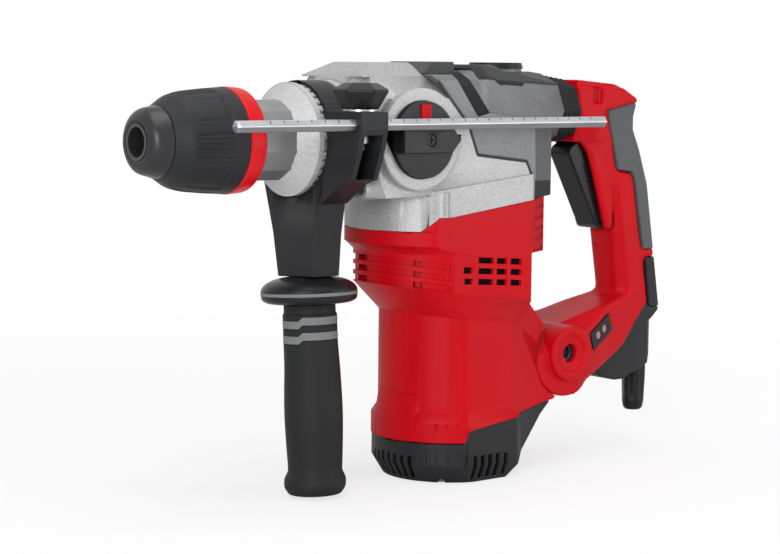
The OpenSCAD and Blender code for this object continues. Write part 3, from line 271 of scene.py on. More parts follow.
# %% Make the finishes
ROUND = (900.0, 900.0, 900.0)
DRAWN = (40.0, 1200.0, 1200.0)
red_shell = moulded("red_nylon_satin", (0.45, 0.0010, 0.0060), 0.42, 0.9, 0.035, 0.04, 0.10)
red_ring = moulded("red_ring_plastic", (0.56, 0.004, 0.009), 0.36, 0.8, 0.02, 0.03, 0.16)
black_shell = moulded("black_nylon_grained", (0.0135, 0.014, 0.0155), 0.46, 0.8, 0.045, 0.10, 0.20)
black_smooth = moulded("black_nylon_smooth", (0.0075, 0.0078, 0.009), 0.36, 1.2, 0.02, 0.08, 0.22)
grip_rubber = moulded("soft_grip_rubber", (0.015, 0.0153, 0.0157), 0.62, 0.6, 0.05, 0.10, 0.15)
sleeve_rubber = moulded("chuck_sleeve_rubber", (0.015, 0.0155, 0.017), 0.50, 0.7, 0.05, 0.12, 0.20)
cap_rubber = moulded("dust_cap_rubber", (0.016, 0.016, 0.018), 0.30, 2.4, 0.06, 0.16, 0.32)
pad_rubber = moulded("handle_pad_rubber", (0.072, 0.075, 0.08), 0.50, 0.6, 0.04, 0.08, 0.25)
stripe_grey = moulded("grey_stripe_rubber", (0.15, 0.16, 0.162), 0.55, 0.7, 0.03, 0.06, 0.2)
# The cover's grey lacquer made darker: painted shade for the rear side that turns away from the light.
cover_painted_shade = cast("grey_lacquer_painted_shade", (0.045, 0.047, 0.052), 0.45, 0.10, 0.9, 0.06, 0.25)
cover_grey = cast("dark_grey_lacquer", (0.135, 0.14, 0.148), 0.42, 0.15, 0.75, 0.06, 0.26)
silver_case = cast("silver_lacquer_casting", (0.33, 0.33, 0.334), 0.40, 0.30, 0.75, 0.05, 0.20)
inner_case = cast("raw_casting", (0.45, 0.45, 0.455), 0.50, 0.9, 1.2, 0.06, 0.12)
neck_metal = machined("neck_ground_steel", (0.25, 0.252, 0.256), 0.50, (60.0, 1400.0, 1400.0), 0.006, 0.8)
disc_metal = cast("disc_blasted_steel", (0.44, 0.44, 0.445), 0.55, 0.3, 0.8, 0.05, 0.16)
zinc_rod = machined("zinc_plated_rod", (0.46, 0.475, 0.49), 0.36, DRAWN, 0.005, 1.0, 0.07)
bright_steel = machined("bright_steel", (0.58, 0.585, 0.595), 0.26, ROUND, 0.004)
# The same zinc made darker: painted shade for the underside of the rod.
rod_painted_shade = machined("zinc_rod_painted_shade", (0.24, 0.247, 0.255), 0.36, DRAWN, 0.005, 1.0, 0.07)
dark_steel = machined("blackened_steel", (0.10, 0.10, 0.105), 0.38, ROUND, 0.006, 0.9)
iron_core = machined("stacked_iron_sheets", (0.16, 0.155, 0.15), 0.48, (40.0, 40.0, 2600.0), 0.02, 0.9)
copper_wire = machined("enamelled_copper", (0.42, 0.15, 0.055), 0.34, (1500.0, 1500.0, 120.0), 0.03, 0.9)
brass_box = machined("brass", (0.58, 0.42, 0.16), 0.32, ROUND, 0.005, 1.0)
carbon_block = moulded("pressed_carbon", (0.012, 0.012, 0.013), 0.55, 0.5, 0.02, 0.2, 0.4)
window_tint = moulded("smoked_window", (0.012, 0.011, 0.012), 0.30, 3.0, 0.004, 0.06, 0.15)
lamp_lens = moulded("frosted_lamp_lens", (0.30, 0.17, 0.17), 0.35, 1.5, 0.02, 0.08, 0.3)
shadow_black = moulded("groove_shadow", (0.002, 0.002, 0.0024), 0.70, 1.0, 0.02, 0.1, 0.05)
print("finishes:", len(bpy.data.materials))

# %% [markdown]
# ## From arrays to pieces
# A surface is an array of points laid out in rows and columns. Neighbours in that grid make the
# four-sided faces, so the faces need no loop either. Points are in millimetres until the very end.

# %% Put grids into meshes
def net(rows, columns, wrap_rows=False, wrap_columns=True):
    """Faces between grid neighbours: (r, c), (r, c+1), (r+1, c+1), (r+1, c), wrapped where asked."""
    r, c = np.meshgrid(np.arange(rows if wrap_rows else rows - 1),
                       np.arange(columns if wrap_columns else columns - 1), indexing="ij")
    r1, c1 = (r + 1) % rows, (c + 1) % columns
    square = [r * columns + c, r * columns + c1, r1 * columns + c1, r1 * columns + c]
    return np.stack(square, -1).reshape(-1, 4)


def piece(name, points, faces, finish, body, slot=None, instead_of=(), smooth=40.0):
    """Points in mm and faces become an object that rides on a body, with its normals outward."""
    mesh = bpy.data.meshes.new(name)
    mesh.vertices.add(len(points))
    mesh.vertices.foreach_set("co", (np.asarray(points, float) * MM).ravel())
    mesh.loops.add(faces.size)
    mesh.loops.foreach_set("vertex_index", faces.ravel().astype(np.int32))
    mesh.polygons.add(len(faces))
    mesh.polygons.foreach_set("loop_start", np.arange(0, faces.size, faces.shape[1], dtype=np.int32))
    mesh.update(calc_edges=True)
    work = bmesh.new()
    work.from_mesh(mesh)
    bmesh.ops.remove_doubles(work, verts=work.verts, dist=1e-6)
    bmesh.ops.recalc_face_normals(work, faces=work.faces)
    work.to_mesh(mesh)
    work.free()
    return settle(name, mesh, finish, body, instead_of, smooth)


def settle(name, mesh, finish, body, instead_of, smooth):
    """The mesh gets its finish, smooth light up to an angle, its body and the solids it stands for."""
    mesh.polygons.foreach_set("use_smooth", np.ones(len(mesh.polygons), bool))
    mesh.set_sharp_from_angle(angle=math.radians(smooth))
    mesh.materials.clear()
    mesh.materials.append(finish)
    made = bpy.data.objects.new(name, mesh)
    scene.collection.objects.link(made)
    if body:
        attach(made, body)
    if instead_of:
        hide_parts(*instead_of)
    print(f"{name}: {len(mesh.polygons)} faces on {body}")
    return made


print("mesh helpers ready")

# %% [markdown]
# ## Outlines carried round
# Most of the new pieces are turned: an outline of a few corners has its corners eased, is walked at even
# steps and goes once round the spindle's axis. Blender's Screw modifier could turn it too, but a formula
# can also lift each point by its angle, which is how ridges, flutes and flats come about.

# %% Outlines and turned shapes
def eased(corners, radius, steps=4):
    """Each corner of a closed outline becomes a curve: a blend of the two cuts and the corner itself,
    (1-t)^2 before + 2t(1-t) corner + t^2 after."""
    corner = np.asarray(corners, float)
    radius = np.broadcast_to(np.asarray(radius, float).reshape(-1, 1), (len(corner), 1))
    back, ahead = np.roll(corner, 1, 0) - corner, np.roll(corner, -1, 0) - corner
    back_len = np.linalg.norm(back, axis=1, keepdims=True)
    ahead_len = np.linalg.norm(ahead, axis=1, keepdims=True)
    before = corner + back / back_len * np.minimum(radius, 0.49 * back_len)
    after = corner + ahead / ahead_len * np.minimum(radius, 0.49 * ahead_len)
    t = np.linspace(0.0, 1.0, steps + 1).reshape(-1, 1, 1)
    curve = (1 - t) ** 2 * before + 2 * t * (1 - t) * corner + t ** 2 * after
    return curve.transpose(1, 0, 2).reshape(-1, 2)


def evenly(outline, gap):
    """A closed outline is walked at even steps of about gap, so that relief has points to move."""
    loop = np.vstack([outline, outline[:1]])
    walked = np.concatenate([[0.0], np.cumsum(np.linalg.norm(np.diff(loop, axis=0), axis=1))])
    at = np.unique(np.concatenate([np.arange(0.0, walked[-1], gap), walked[:-1]]))
    return np.stack([np.interp(at, walked, loop[:, 0]), np.interp(at, walked, loop[:, 1])], -1)


def turned(outline, columns=144, lift=None, closed=True, slide=None):
    """An outline of (along, radius) goes round X: (along, -radius cos a, radius sin a), so a = 0 looks
    at the camera side. lift(along, a, radius) is added to the radius and slide(a) to the place along."""
    a = np.linspace(0.0, 2 * np.pi, columns, endpoint=False)[None, :]
    along, radius = outline[:, :1] + 0 * a, np.repeat(outline[:, 1:], columns, 1)
    if lift is not None:
        radius = radius + lift(along, a + 0 * along, radius)
    if slide is not None:
        along = along + slide(a)
    points = np.stack([along, -radius * np.cos(a), radius * np.sin(a)], -1)
    return points.reshape(-1, 3), net(len(outline), columns, closed, True)


print("outline helpers ready")

# %% [markdown]
# ## Soft switches and small boxes
# Relief needs a switch that goes from 0 to 1 without a crease, and a window made of two switches. Marks and
# screens are many small boxes, and one call makes all of them as one mesh.

# %% Switches and boxes
def step(value, edge, soft):
    """0 below the edge and 1 above it, with an S-shaped change that is 2 soft wide."""
    t = np.clip((value - edge) / (2 * soft) + 0.5, 0.0, 1.0)
    return t * t * (3 - 2 * t)


def window(value, low, high, soft):
    """1 between low and high and 0 outside, with soft flanks."""
    return step(value, low, soft) * (1 - step(value, high, soft))


def blocks(centres, directions, halves):
    """Many small boxes at once: centre + corner signs times half sizes along three directions."""
    signs = np.array([[i, j, k] for i in (-1, 1) for j in (-1, 1) for k in (-1, 1)], float)
    points = centres[:, None] + np.einsum("cs,nsv->ncv", signs, halves[:, :, None] * directions[None])
    quads = np.array([[0, 1, 3, 2], [4, 6, 7, 5], [0, 4, 5, 1], [2, 3, 7, 6], [0, 2, 6, 4], [1, 5, 7, 3]])
    faces = quads[None] + 8 * np.arange(len(centres))[:, None, None]
    return points.reshape(-1, 3), faces.reshape(-1, 4)


print("switch and box helpers ready")

# %% [markdown]
# ## Softened solids
# The shells of this tool are mostly flats with rounded edges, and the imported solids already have
# the flats. A copy of a solid has its loose triangles joined and its flats made whole, and a Bevel
# modifier rounds the edges that turn by more than an angle. The solid itself is never touched.

# %% Read and join
def read(items, key, width=1, kind=float):
    """One value, or a row of width values, for each item of a mesh."""
    values = np.zeros(width * len(items), kind)
    items.foreach_get(key, values)
    return values.reshape(-1, width) if width > 1 else values


WELD, LEVEL = 5e-6, math.radians(1.0)


def joined(node, finish, angle, cuts=()):
    """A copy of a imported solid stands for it: corners closer than WELD become one, faces that turn by less
    than LEVEL become one, and each cut (point in mm, direction) adds edges along a plane."""
    source = frame["nodes"][node]
    mesh = source.data.copy()
    mesh.name = node + "_dressed"
    work = bmesh.new()
    work.from_mesh(mesh)
    bmesh.ops.remove_doubles(work, verts=work.verts, dist=WELD)
    bmesh.ops.dissolve_degenerate(work, edges=work.edges, dist=WELD)
    bmesh.ops.dissolve_limit(work, angle_limit=LEVEL, verts=work.verts, edges=work.edges,
                             use_dissolve_boundaries=False)
    for point, way in cuts:
        bmesh.ops.bisect_plane(work, geom=work.verts[:] + work.edges[:] + work.faces[:], dist=1e-6,
                               plane_co=Vector(point) * MM, plane_no=Vector(way))
    work.to_mesh(mesh)
    work.free()
    return settle(mesh.name, mesh, finish, source["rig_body"], (node,), angle)


# %% [markdown]
# ## Room for each round
# One width for all edges would tear a shell where a face is shallow or a short edge meets a long one. So
# each edge gets a share of the width: the depth of its two faces and the length of its neighbours limit it,
# and a long chain of edges changes its share only slowly. All of it is counted on whole arrays.

# %% How much round each edge can take
def pairs_within(counts):
    """For groups of the given sizes, every ordered pair of members as two index arrays."""
    start = np.cumsum(counts) - counts
    first = np.repeat(np.arange(counts.sum()), np.repeat(counts, counts))
    group_start = np.repeat(np.repeat(start, counts), np.repeat(counts, counts))
    span = np.repeat(counts, counts)
    run = np.arange(len(first)) - np.repeat(np.cumsum(span) - span, span)
    return first, group_start + run


def edge_rounds(mesh, width, angle):
    """A share from 0 to 1 for each edge: 1 where it turns by more than the angle and both faces and all
    neighbours leave room for a round of width, less where a face is shallow or a neighbour is short."""
    n_edge, n_loop = len(mesh.edges), len(mesh.loops)
    place, ends = read(mesh.vertices, "co", 3), read(mesh.edges, "vertices", 2, np.int32)
    loop_v = read(mesh.loops, "vertex_index", kind=np.int32)
    loop_e = read(mesh.loops, "edge_index", kind=np.int32)
    sides = read(mesh.polygons, "loop_total", kind=np.int32)
    normal, area = read(mesh.polygons, "normal", 3), read(mesh.polygons, "area")
    loop_p = np.repeat(np.arange(len(sides)), sides)
    along = place[ends[:, 1]] - place[ends[:, 0]]
    length = np.maximum(np.linalg.norm(along, axis=1), 1e-9)
    along = along / length[:, None]
    order = np.argsort(loop_e, kind="stable")
    used = np.bincount(loop_e, minlength=n_edge)
    first = np.concatenate([[0], np.cumsum(used)[:-1]])
    paired = used == 2
    face_a = loop_p[order[np.minimum(first, n_loop - 1)]]
    face_b = loop_p[order[np.minimum(first + 1, n_loop - 1)]]
    bend = np.degrees(np.arccos(np.clip((normal[face_a] * normal[face_b]).sum(1), -1.0, 1.0)))
    sharp = paired & (bend > angle)
    # Depth of each face measured square to each of its edges
    one, other = pairs_within(sides)
    away = place[loop_v[other]] - place[ends[loop_e[one], 0]]
    away = away - (away * along[loop_e[one]]).sum(1, keepdims=True) * along[loop_e[one]]
    group = np.concatenate([[0], np.cumsum(sides[loop_p])[:-1]])
    reach = np.maximum.reduceat(np.linalg.norm(away, axis=1), group)
    rim = np.bincount(loop_p, weights=length[loop_e], minlength=len(sides))
    narrow = 2 * area / np.maximum(rim, 1e-12)
    reach = np.where(sides[loop_p] > 12, np.minimum(reach, narrow[loop_p]), reach)
    room = np.full(n_edge, 1.0)
    np.minimum.at(room, loop_e, 0.45 * reach)
    # Length of the edges that meet it
    corner = ends.ravel()
    owner = np.repeat(np.arange(n_edge), 2)
    outward = np.where(np.tile([True, False], n_edge)[:, None], along[owner], -along[owner])
    by_corner = np.argsort(corner, kind="stable")
    meets = np.bincount(corner, minlength=len(place))
    one, other = pairs_within(meets[meets > 0])
    one, other = by_corner[one], by_corner[other]
    apart = owner[one] != owner[other]
    one, other = one[apart], other[apart]
    straight = (outward[one] * outward[other]).sum(1) < -0.8
    share = np.where(sharp[owner[other]], 0.45, 0.9) * length[owner[other]]
    np.minimum.at(room, owner[one][~straight], share[~straight])
    weight = np.where(sharp, np.clip(room / width, 0.0, 1.0), 0.0)
    chain = straight & sharp[owner[one]] & sharp[owner[other]]
    for _ in range(3):
        calm = weight.copy()
        np.minimum.at(calm, owner[one][chain], 1.5 * weight[owner[other]][chain] + 0.05)
        weight = calm
    return np.where(weight < 0.06, 0.0, weight)


print("edge rounds ready")

# %% [markdown]
# ## Softened copies
# A Bevel modifier takes the shares as edge weights. Where two rounds still run into each other, a triangle
# lies flipped in its face, and the shares near that spot are made smaller until none is left.

# %% Where rounds run into each other
NO_AREA = 2e-10


def torn_spots(mesh):
    """Corners of triangles that lie flipped in their own face: the triangle's normal, which is the cross
    product of two sides, looks away from the normal of the face."""
    mesh.calc_loop_triangles()
    corner = read(mesh.loop_triangles, "vertices", 3, np.int32)
    face = read(mesh.loop_triangles, "polygon_index", kind=np.int32)
    normal, place = read(mesh.polygons, "normal", 3), read(mesh.vertices, "co", 3)
    a, b, c = place[corner].transpose(1, 0, 2)
    across = np.cross(b - a, c - a)
    size = np.linalg.norm(across, axis=1)
    flipped = (size > NO_AREA) & ((across * normal[face]).sum(1) < 0.3 * size)
    return place[np.unique(corner[flipped])]


# %% A helper for softened copies
def softened(node, finish, width, segments=3, angle=28.0, crisp=None, cuts=()):
    """A joined copy with edges rounded by up to width mm, where they turn by more than the angle. Edges whose
    middles pass the crisp test stay as they are."""
    made = joined(node, finish, angle, cuts)
    mesh = made.data
    share = edge_rounds(mesh, width * MM, angle)
    place, ends = read(mesh.vertices, "co", 3), read(mesh.edges, "vertices", 2, np.int32)
    if crisp is not None:
        share = np.where(crisp(*(place[ends].mean(1) / MM).T), 0.0, share)
    weight = mesh.attributes.new("bevel_weight_edge", "FLOAT", "EDGE")
    weight.data.foreach_set("value", share.astype(np.float32))
    bevel = made.modifiers.new("rounded_edges", "BEVEL")
    bevel.width = width * MM
    bevel.segments = segments
    bevel.limit_method = "WEIGHT"
    bevel.use_clamp_overlap = False
    bevel.harden_normals = True
    bevel.miter_outer = "MITER_ARC"
    for attempt in range(9):
        shaped = made.evaluated_get(bpy.context.evaluated_depsgraph_get())
        torn = torn_spots(shaped.to_mesh())
        shaped.to_mesh_clear()
        if len(torn) == 0:
            break
        gap = np.linalg.norm(place[:, None] - torn[None], axis=2).min(1)
        near = gap < (1.2 + 0.25 * attempt) * width * MM
        share = np.where(near[ends].any(1), 0.45 * share, share)
        share[share < 0.05] = 0.0
        mesh.attributes["bevel_weight_edge"].data.foreach_set("value", share.astype(np.float32))
        mesh.update()
        made.update_tag()
    print("   rounds calmed", attempt, "times, torn corners left:", len(torn))
    return made


print("softening ready")

# %% [markdown]
# ## The chuck
# The nose is a soft dust cap, then a gripping sleeve that the hand pulls back, then a red ring. All
# three are turned shapes, so each is an outline carried round the spindle. The cap is rubber and a
# little uneven, so its outside gets three shallow dents.

# %% Dust cap
def squeezed(along, a, radius):
    """Shallow dents, 3 around, on the outside of the rubber only."""
    outside = (along < 3.5) | (radius > 17.4)
    return outside * 0.18 * np.sin(3 * a + 0.5 * along) * window(along, 1.6, 11.5, 1.2)


cap_outline = evenly(eased(
    [[0.5, 11.25], [0.0, 13.4], [0.9, 16.6], [2.6, 18.6], [5.2, 20.1], [8.5, 20.9], [13.15, 22.0], [13.15, 17.05],
     [4.0, 17.05], [4.0, 11.25]], [0.6, 1.5, 1.8, 2.0, 2.5, 3.0, 0.6, 0.2, 0.2, 0.2]), 0.5)
piece("dust_cap_rubber", *turned(cap_outline, 144, squeezed), cap_rubber, "spindle", "black_rubber", ("dust_cap",))

# %% [markdown]
# ## The gripping sleeve
# Fingers need hold on the sleeve, so every quarter turn has a ridged panel and a smooth one with a cut
# behind it. Carving that with cutters would take dozens of them. Here the radius is lifted by a pattern of
# the angle and the place along, and a fine grid carries it.

# %% Gripping sleeve
def hand_relief(along, a, radius):
    """Ridges are a cosine across a ridged panel; a smooth panel is sunk and cut deeper on two sides."""
    outside = (radius > 22.7) & ~((along > 48.8) & (radius < 27.5))
    degrees = np.degrees(a)
    ridge_turn = (degrees + 4.0 + 45.0) % 90.0 - 45.0
    calm_turn = (degrees + 4.0) % 90.0 - 45.0
    wide = 1.0 + 0.012 * (along - 37.0)
    ridged = window(along, 24.3, 50.2, 0.7) * window(ridge_turn / wide, -16.5, 15.5, 1.2)
    ridges = 0.5 + 0.5 * np.cos(np.radians(ridge_turn * 360.0 / 5.4))
    panel = window(along, 26.0, 50.6, 0.8) * window(calm_turn, -15.5, 15.5, 1.0)
    cut = window(along, 47.8, 50.4, 0.5) * window(calm_turn, -15.5, 13.0, 0.9)
    cut = np.maximum(cut, window(along, 27.0, 50.4, 0.8) * window(calm_turn, -15.5, -13.2, 0.6))
    rim = window(along, 58.6, 59.6, 0.4)
    return outside * (ridged * (0.95 * ridges - 0.85) - 0.3 * panel - 0.7 * cut - 0.25 * rim)


sleeve_outline = evenly(eased(
    [[13.5, 17.1], [13.5, 22.1], [19.0, 25.4], [23.0, 28.1], [30.0, 30.0], [45.5, 31.5], [60.45, 32.6], [60.45, 26.3],
     [49.0, 26.3], [49.0, 22.5], [19.0, 22.5], [19.0, 17.1]],
    [0.2, 0.6, 2.4, 2.6, 5.0, 6.0, 0.7, 0.2, 0.2, 0.2, 0.2, 0.2]), 0.6)
piece("chuck_sleeve_grip", *turned(sleeve_outline, 320, hand_relief), sleeve_rubber, "sleeve", "black_plastic",
      ("chuck_sleeve",), 60.0)

# %% [markdown]
# ## The sleeve's spring
# A coil spring inside pushes the sleeve forward again. Its solid is rigid and the pulled sleeve would cut
# it. A joined copy with a mesh of its own stands for it and rides on the spring's body.

# %% Spring behind the sleeve
coil_mesh = frame["nodes"]["sleeve_spring"].data.copy()
coil_work = bmesh.new()
coil_work.from_mesh(coil_mesh)
bmesh.ops.remove_doubles(coil_work, verts=coil_work.verts, dist=1e-6)
coil_work.to_mesh(coil_mesh)
coil_work.free()
coil = settle("sleeve_spring_coil", coil_mesh, bright_steel, frame["nodes"]["sleeve_spring"]["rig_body"],
              ("sleeve_spring",), 50.0)
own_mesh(coil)

# %% [markdown]
# ## The red ring
# A plain plastic ring closes the sleeve. Six corners with small rounds, carried round, are all it needs.

# %% Red ring
ring_outline = eased([[60.55, 26.4], [60.55, 32.6], [62.0, 32.9], [71.6, 32.2], [72.9, 31.0], [72.9, 26.4]],
                     [0.2, 0.5, 0.6, 0.7, 0.5, 0.2])
piece("chuck_ring_red", *turned(ring_outline, 144), red_ring, "sleeve", "red_metal", ("chuck_ring",))

# %% [markdown]
# ## The neck
# The neck is steel ground in flats, with a blasted disc behind it. Its flats meet at shallow angles, and
# rounds would blur them, so a joined copy is enough: the flats are lit flat, the disc is lit smooth, and
# each has its own finish.

# %% Neck and disc
def split_finish(made, second, inside):
    """Faces whose middles, in mm, pass the test get one more finish."""
    mesh = made.data
    middle = read(mesh.polygons, "center", 3) / MM
    which = read(mesh.polygons, "material_index", kind=np.int32)
    which[inside(*middle.T)] = len(mesh.materials)
    mesh.materials.append(second)
    mesh.polygons.foreach_set("material_index", which)
    return made


NECK_REACH, DISC_X, FLATS_END = 25.6, 100.0, 99.6
neck = joined("barrel_neck", neck_metal, 20.0)
split_finish(neck, disc_metal, lambda x, y, z: (np.hypot(y, z) > NECK_REACH) | (x > DISC_X))
neck.data.polygons.foreach_set("use_smooth", read(neck.data.polygons, "center", 3)[:, 0] > FLATS_END * MM)
softened("housing_screws", dark_steel, 0.3, 2)

# %% [markdown]
# ## The gear case and what sits on it
# The case is a lacquered casting with a dark grey cover over the crank, a grease cap and the selector. The
# solids have the right flats, so softened copies are enough. The rear of the cover steps down to painted shade,
# a darker grey for a side turned away from the light, then to black; cuts there give each colour its faces.

# %% Gear case, crank cover and selector
def skirt_corner(x, y, z):
    """Where the round front of the skirt runs into its flat sides."""
    return (np.abs(x - 195.6) < 3.0) & (np.abs(y) > 42.0) & (z < -34.0)


COVER_REAR, PAINTED_SHADE_TOP, BLACK_TOP = 281.3, 6.0, -28.4
cover_cuts = [((COVER_REAR, 0, 0), (1, 0, 0)), ((0, 0, BLACK_TOP), (0, 0, 1)), ((0, 0, PAINTED_SHADE_TOP), (0, 0, 1))]
softened("gear_housing", silver_case, 1.2, angle=20.0, crisp=skirt_corner)
cover = softened("crank_cover", cover_grey, 1.2, cuts=cover_cuts)
# Behind COVER_REAR and below the shade line the cover gets the darker grey, painted shade.
split_finish(cover, cover_painted_shade, lambda x, y, z: (x > COVER_REAR) & (z < PAINTED_SHADE_TOP))
split_finish(cover, black_shell, lambda x, y, z: (x > COVER_REAR) & (z < BLACK_TOP))
softened("cover_wedge", black_shell, 1.6)
softened("grease_cap", black_smooth, 0.8)
BAR_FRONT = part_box("selector_knob")[0][1] / MM
softened("selector_knob", black_smooth, 0.9, crisp=lambda x, y, z: y > BAR_FRONT + 0.4)
softened("selector_button", red_shell, 0.4, 2)
softened("selector_screw", black_smooth, 0.25, 2)

# %% [markdown]
# ## Trim on the crank cover
# A black rubber seam runs between the silver case and the grey cover, a slanting black face lies in the
# cover's groove, partly its own dark plastic and partly painted shade, and a thin black skin covers its roof
# back to the bellows. Each is a strip: rows of points along it and a few columns across it. The other side
# gets the same strip with y turned round.

# %% Seam between case and cover
def both_sides(points, faces):
    """A strip and its mirror image in the plane y = 0, as one set of points and faces."""
    return np.vstack([points, points * [1, -1, 1]]), np.vstack([faces, faces[:, ::-1] + len(points)])


def ribbon(path, width, front, back):
    """A flat bar along a path of (x, z): half the width to each side along the mitred normal, from y = front
    to y = back."""
    path = np.asarray(path, float)
    way = np.diff(path, axis=0)
    way = way / np.linalg.norm(way, axis=1, keepdims=True)
    mean = np.vstack([way[:1], way[:-1] + way[1:], way[-1:]])
    mean = mean / np.linalg.norm(mean, axis=1, keepdims=True)
    side = np.stack([-mean[:, 1], mean[:, 0]], -1) * width / 2
    side = side / np.maximum((mean * np.vstack([way[:1], way])).sum(1, keepdims=True), 0.5)
    one, two = path + side, path - side
    rows = [np.stack([p[:, 0], np.full(len(p), y), p[:, 1]], -1) for p, y in
            ((one, back), (one, front), (two, front), (two, back))]
    return np.stack(rows, 1).reshape(-1, 3), net(len(path), 4)


seam_path = [[197.4, 36.3], [219.0, 13.0], [224.0, 6.5], [231.0, -10.5], [274.0, -15.5], [281.0, -28.5],
             [281.0, -36.0]]
piece("cover_gasket", *both_sides(*ribbon(seam_path, 1.7, -43.25, -42.4)), black_smooth, "casing", "black_rubber")

# %% Dark face of the groove: its own dark plastic and painted shade
groove_t = np.linspace(0.0, 1.0, 9)[:, None]
left_edge = np.array([[209.2, 43.2]]) * (1 - groove_t) + np.array([[231.6, 14.2]]) * groove_t
right_edge = np.array([[218.4, 43.2]]) * (1 - groove_t) + np.array([[240.8, 16.5]]) * groove_t


def cover_wall(z):
    """The side wall of the cover: y = -43 up to z = 38, then a bevel of 11 across in 10 up."""
    return -43.0 + 1.1 * np.clip(z - 38.0, 0.0, 10.0)


deep = 1.9 * np.clip((40.0 - left_edge[:, 1]) / 2.0, 0.0, 1.0)
groove = np.stack([
    np.stack([left_edge[:, 0], cover_wall(left_edge[:, 1]) + deep - 0.12, left_edge[:, 1]], -1),
    np.stack([right_edge[:, 0], cover_wall(right_edge[:, 1]) - 0.12, right_edge[:, 1]], -1)], 1)
piece("cover_groove_face", *both_sides(groove.reshape(-1, 3), net(9, 2, False, False)), black_shell, "casing",
      "black_plastic")

# %% [markdown]
# ## The skin of the roof
# From the grease cap to the bellows the roof is black. The skin is a grid: rows run along the tool, and
# columns go from one edge over knee and ridge to the other edge. A tongue hangs down beside the cap. A
# Solidify modifier gives it thickness.

# %% Roof skin
skin_x = np.concatenate([np.linspace(231.0, 240.0, 7), np.linspace(241.5, 325.6, 58)])[:, None]
skin_t = np.clip((skin_x - 240.0) / 86.0, 0.0, 1.0)
edge_y, edge_z = -43.0 + 25.8 * skin_t, 38.0 - 3.8 * skin_t
knee_y, knee_z = -32.0 + 14.8 * skin_t, 48.0 - 13.8 * skin_t
ridge_y, ridge_z = -32.0 + 32.0 * skin_t, 48.0 - 6.7 * skin_t
roof_z = np.interp(skin_x, [228.0, 234.0, 256.0, 268.0, 326.0], [41.0, 47.0, 47.0, 42.0, 43.0])
tongue = 4.3 * np.sqrt(np.clip(1.0 - ((skin_x - 264.5) / 17.5) ** 2, 0.0, 1.0))
share_across = np.linspace(0.0, 1.0, 7)[None, 1:]


def between(start, stop):
    """Columns from one edge of the section to the next."""
    return start + (stop - start) * share_across


half_y = np.hstack([edge_y - 0.2 * tongue, edge_y, between(edge_y, knee_y), between(knee_y, ridge_y),
                    between(ridge_y, 0 * ridge_y)])
half_z = np.hstack([edge_z - tongue, edge_z, between(edge_z, knee_z), between(knee_z, ridge_z),
                    between(ridge_z, ridge_z)])
half_z = np.minimum(half_z, roof_z)
full_y = np.hstack([half_y, -half_y[:, -2::-1]])
full_z = np.hstack([half_z, half_z[:, -2::-1]])
skin_points = np.stack([skin_x + 0 * full_y, full_y, full_z], -1)
skin = piece("cover_roof_skin", skin_points.reshape(-1, 3), net(len(skin_x), full_y.shape[1], False, False),
             black_shell, "casing", "black_plastic", (), 30.0)
thick = skin.modifiers.new("thickness", "SOLIDIFY")
thick.thickness, thick.offset = 1.1 * MM, 0.0

# %% [markdown]
# ## The motor shell and its base
# The red shell hugs the motor: a collar, a ribbed belt with cooling slots, a can with flat sides and
# a flared rim. The black base closes it. Rounds of about 1 mm catch the light along the edges, except
# where the fine ribs of the belt leave no room for them.

# %% Motor shell and base
def no_room(x, y, z):
    """The skirt's corner, and the ribbed belt at the front."""
    return skirt_corner(x, y, z) | ((x < 217.0) & (z > -92.0) & (z < -74.5))


softened("motor_housing", red_shell, 1.2, angle=20.0, crisp=no_room)
softened("base_cap", black_shell, 1.2)

# %% [markdown]
# ## Painted shadow behind the cooling slots
# The slots open into the motor room, which lies in shade on the real tool. A studio light would shine in and
# show bright works, so a thin black box sits behind each slot as painted shadow. Each row of the list is a
# slot: where it starts, where it ends, and its row counted from the top.

# %% Painted shadow behind the slots
SLOTS_AT, SLOT_PITCH = [245.0, -42.1, -77.55], 7.0
slot_ends = np.array([[low, high, row] for row in range(3) for low, high in ((-14, -1), (2, 11), (14.5, 24))]
                     + [[-26, -19, 1], [-26, -19, 2]], float)
slant = math.radians(4.4)
slot_ways = np.array([[math.cos(slant), 0, -math.sin(slant)], [0, 1, 0], [math.sin(slant), 0, math.cos(slant)]])
slot_mid = slot_ends[:, :2].mean(1)[:, None] * slot_ways[0] - 1.95 * slot_ways[2] + SLOTS_AT
slot_mid = slot_mid - np.outer(slot_ends[:, 2], [0, 0, SLOT_PITCH])
slot_half = np.stack([(slot_ends[:, 1] - slot_ends[:, 0]) / 2 + 0.2, np.full(len(slot_ends), 1.0),
                      np.full(len(slot_ends), 2.1)], -1)
piece("slot_painted_shadow", *both_sides(*blocks(slot_mid, slot_ways, slot_half)), shadow_black, "casing", "black_plastic")

# %% [markdown]
# ## The ramp at the front of the can
# Low on the front of the can a shallow ramp leads out to the flared rim. It lies on a cylinder, so it is a
# grid of angle and height whose radius is lifted inside a window and grows on the way down.

# %% Front ramp
MOTOR_X, CAN_SKIN, RAMP_TOP = 245.0, 46.55, 167.6
ramp_a = np.radians(np.linspace(-11.0, 26.0, 150))[None, :]
ramp_z = np.linspace(-166.5, -190.2, 70)[:, None]
slope_out = np.clip((-RAMP_TOP - ramp_z) / 20.5, 0.0, 1.0)
rise = window(np.degrees(ramp_a), -8.6, 23.6, 0.45) * step(-ramp_z, RAMP_TOP, 0.5)
ramp_r = CAN_SKIN + rise * (0.75 + 4.75 * slope_out)
ramp_points = np.stack([MOTOR_X - ramp_r * np.cos(ramp_a), -ramp_r * np.sin(ramp_a), ramp_z + 0 * ramp_r], -1)
piece("motor_front_ramp", ramp_points.reshape(-1, 3), net(*ramp_r.shape, False, False), red_shell, "casing",
      "red_plastic", (), 50.0)

# %% [markdown]
# ## The rear handle
# The handle is one red moulding whose edges flow into each other. A Bevel gives every edge one round,
# which looks cut and not moulded, so the handle is rebuilt as a fine skin and its edges are melted. The head,
# the pivot and the seat of the window keep their shape, because other pieces fit there.

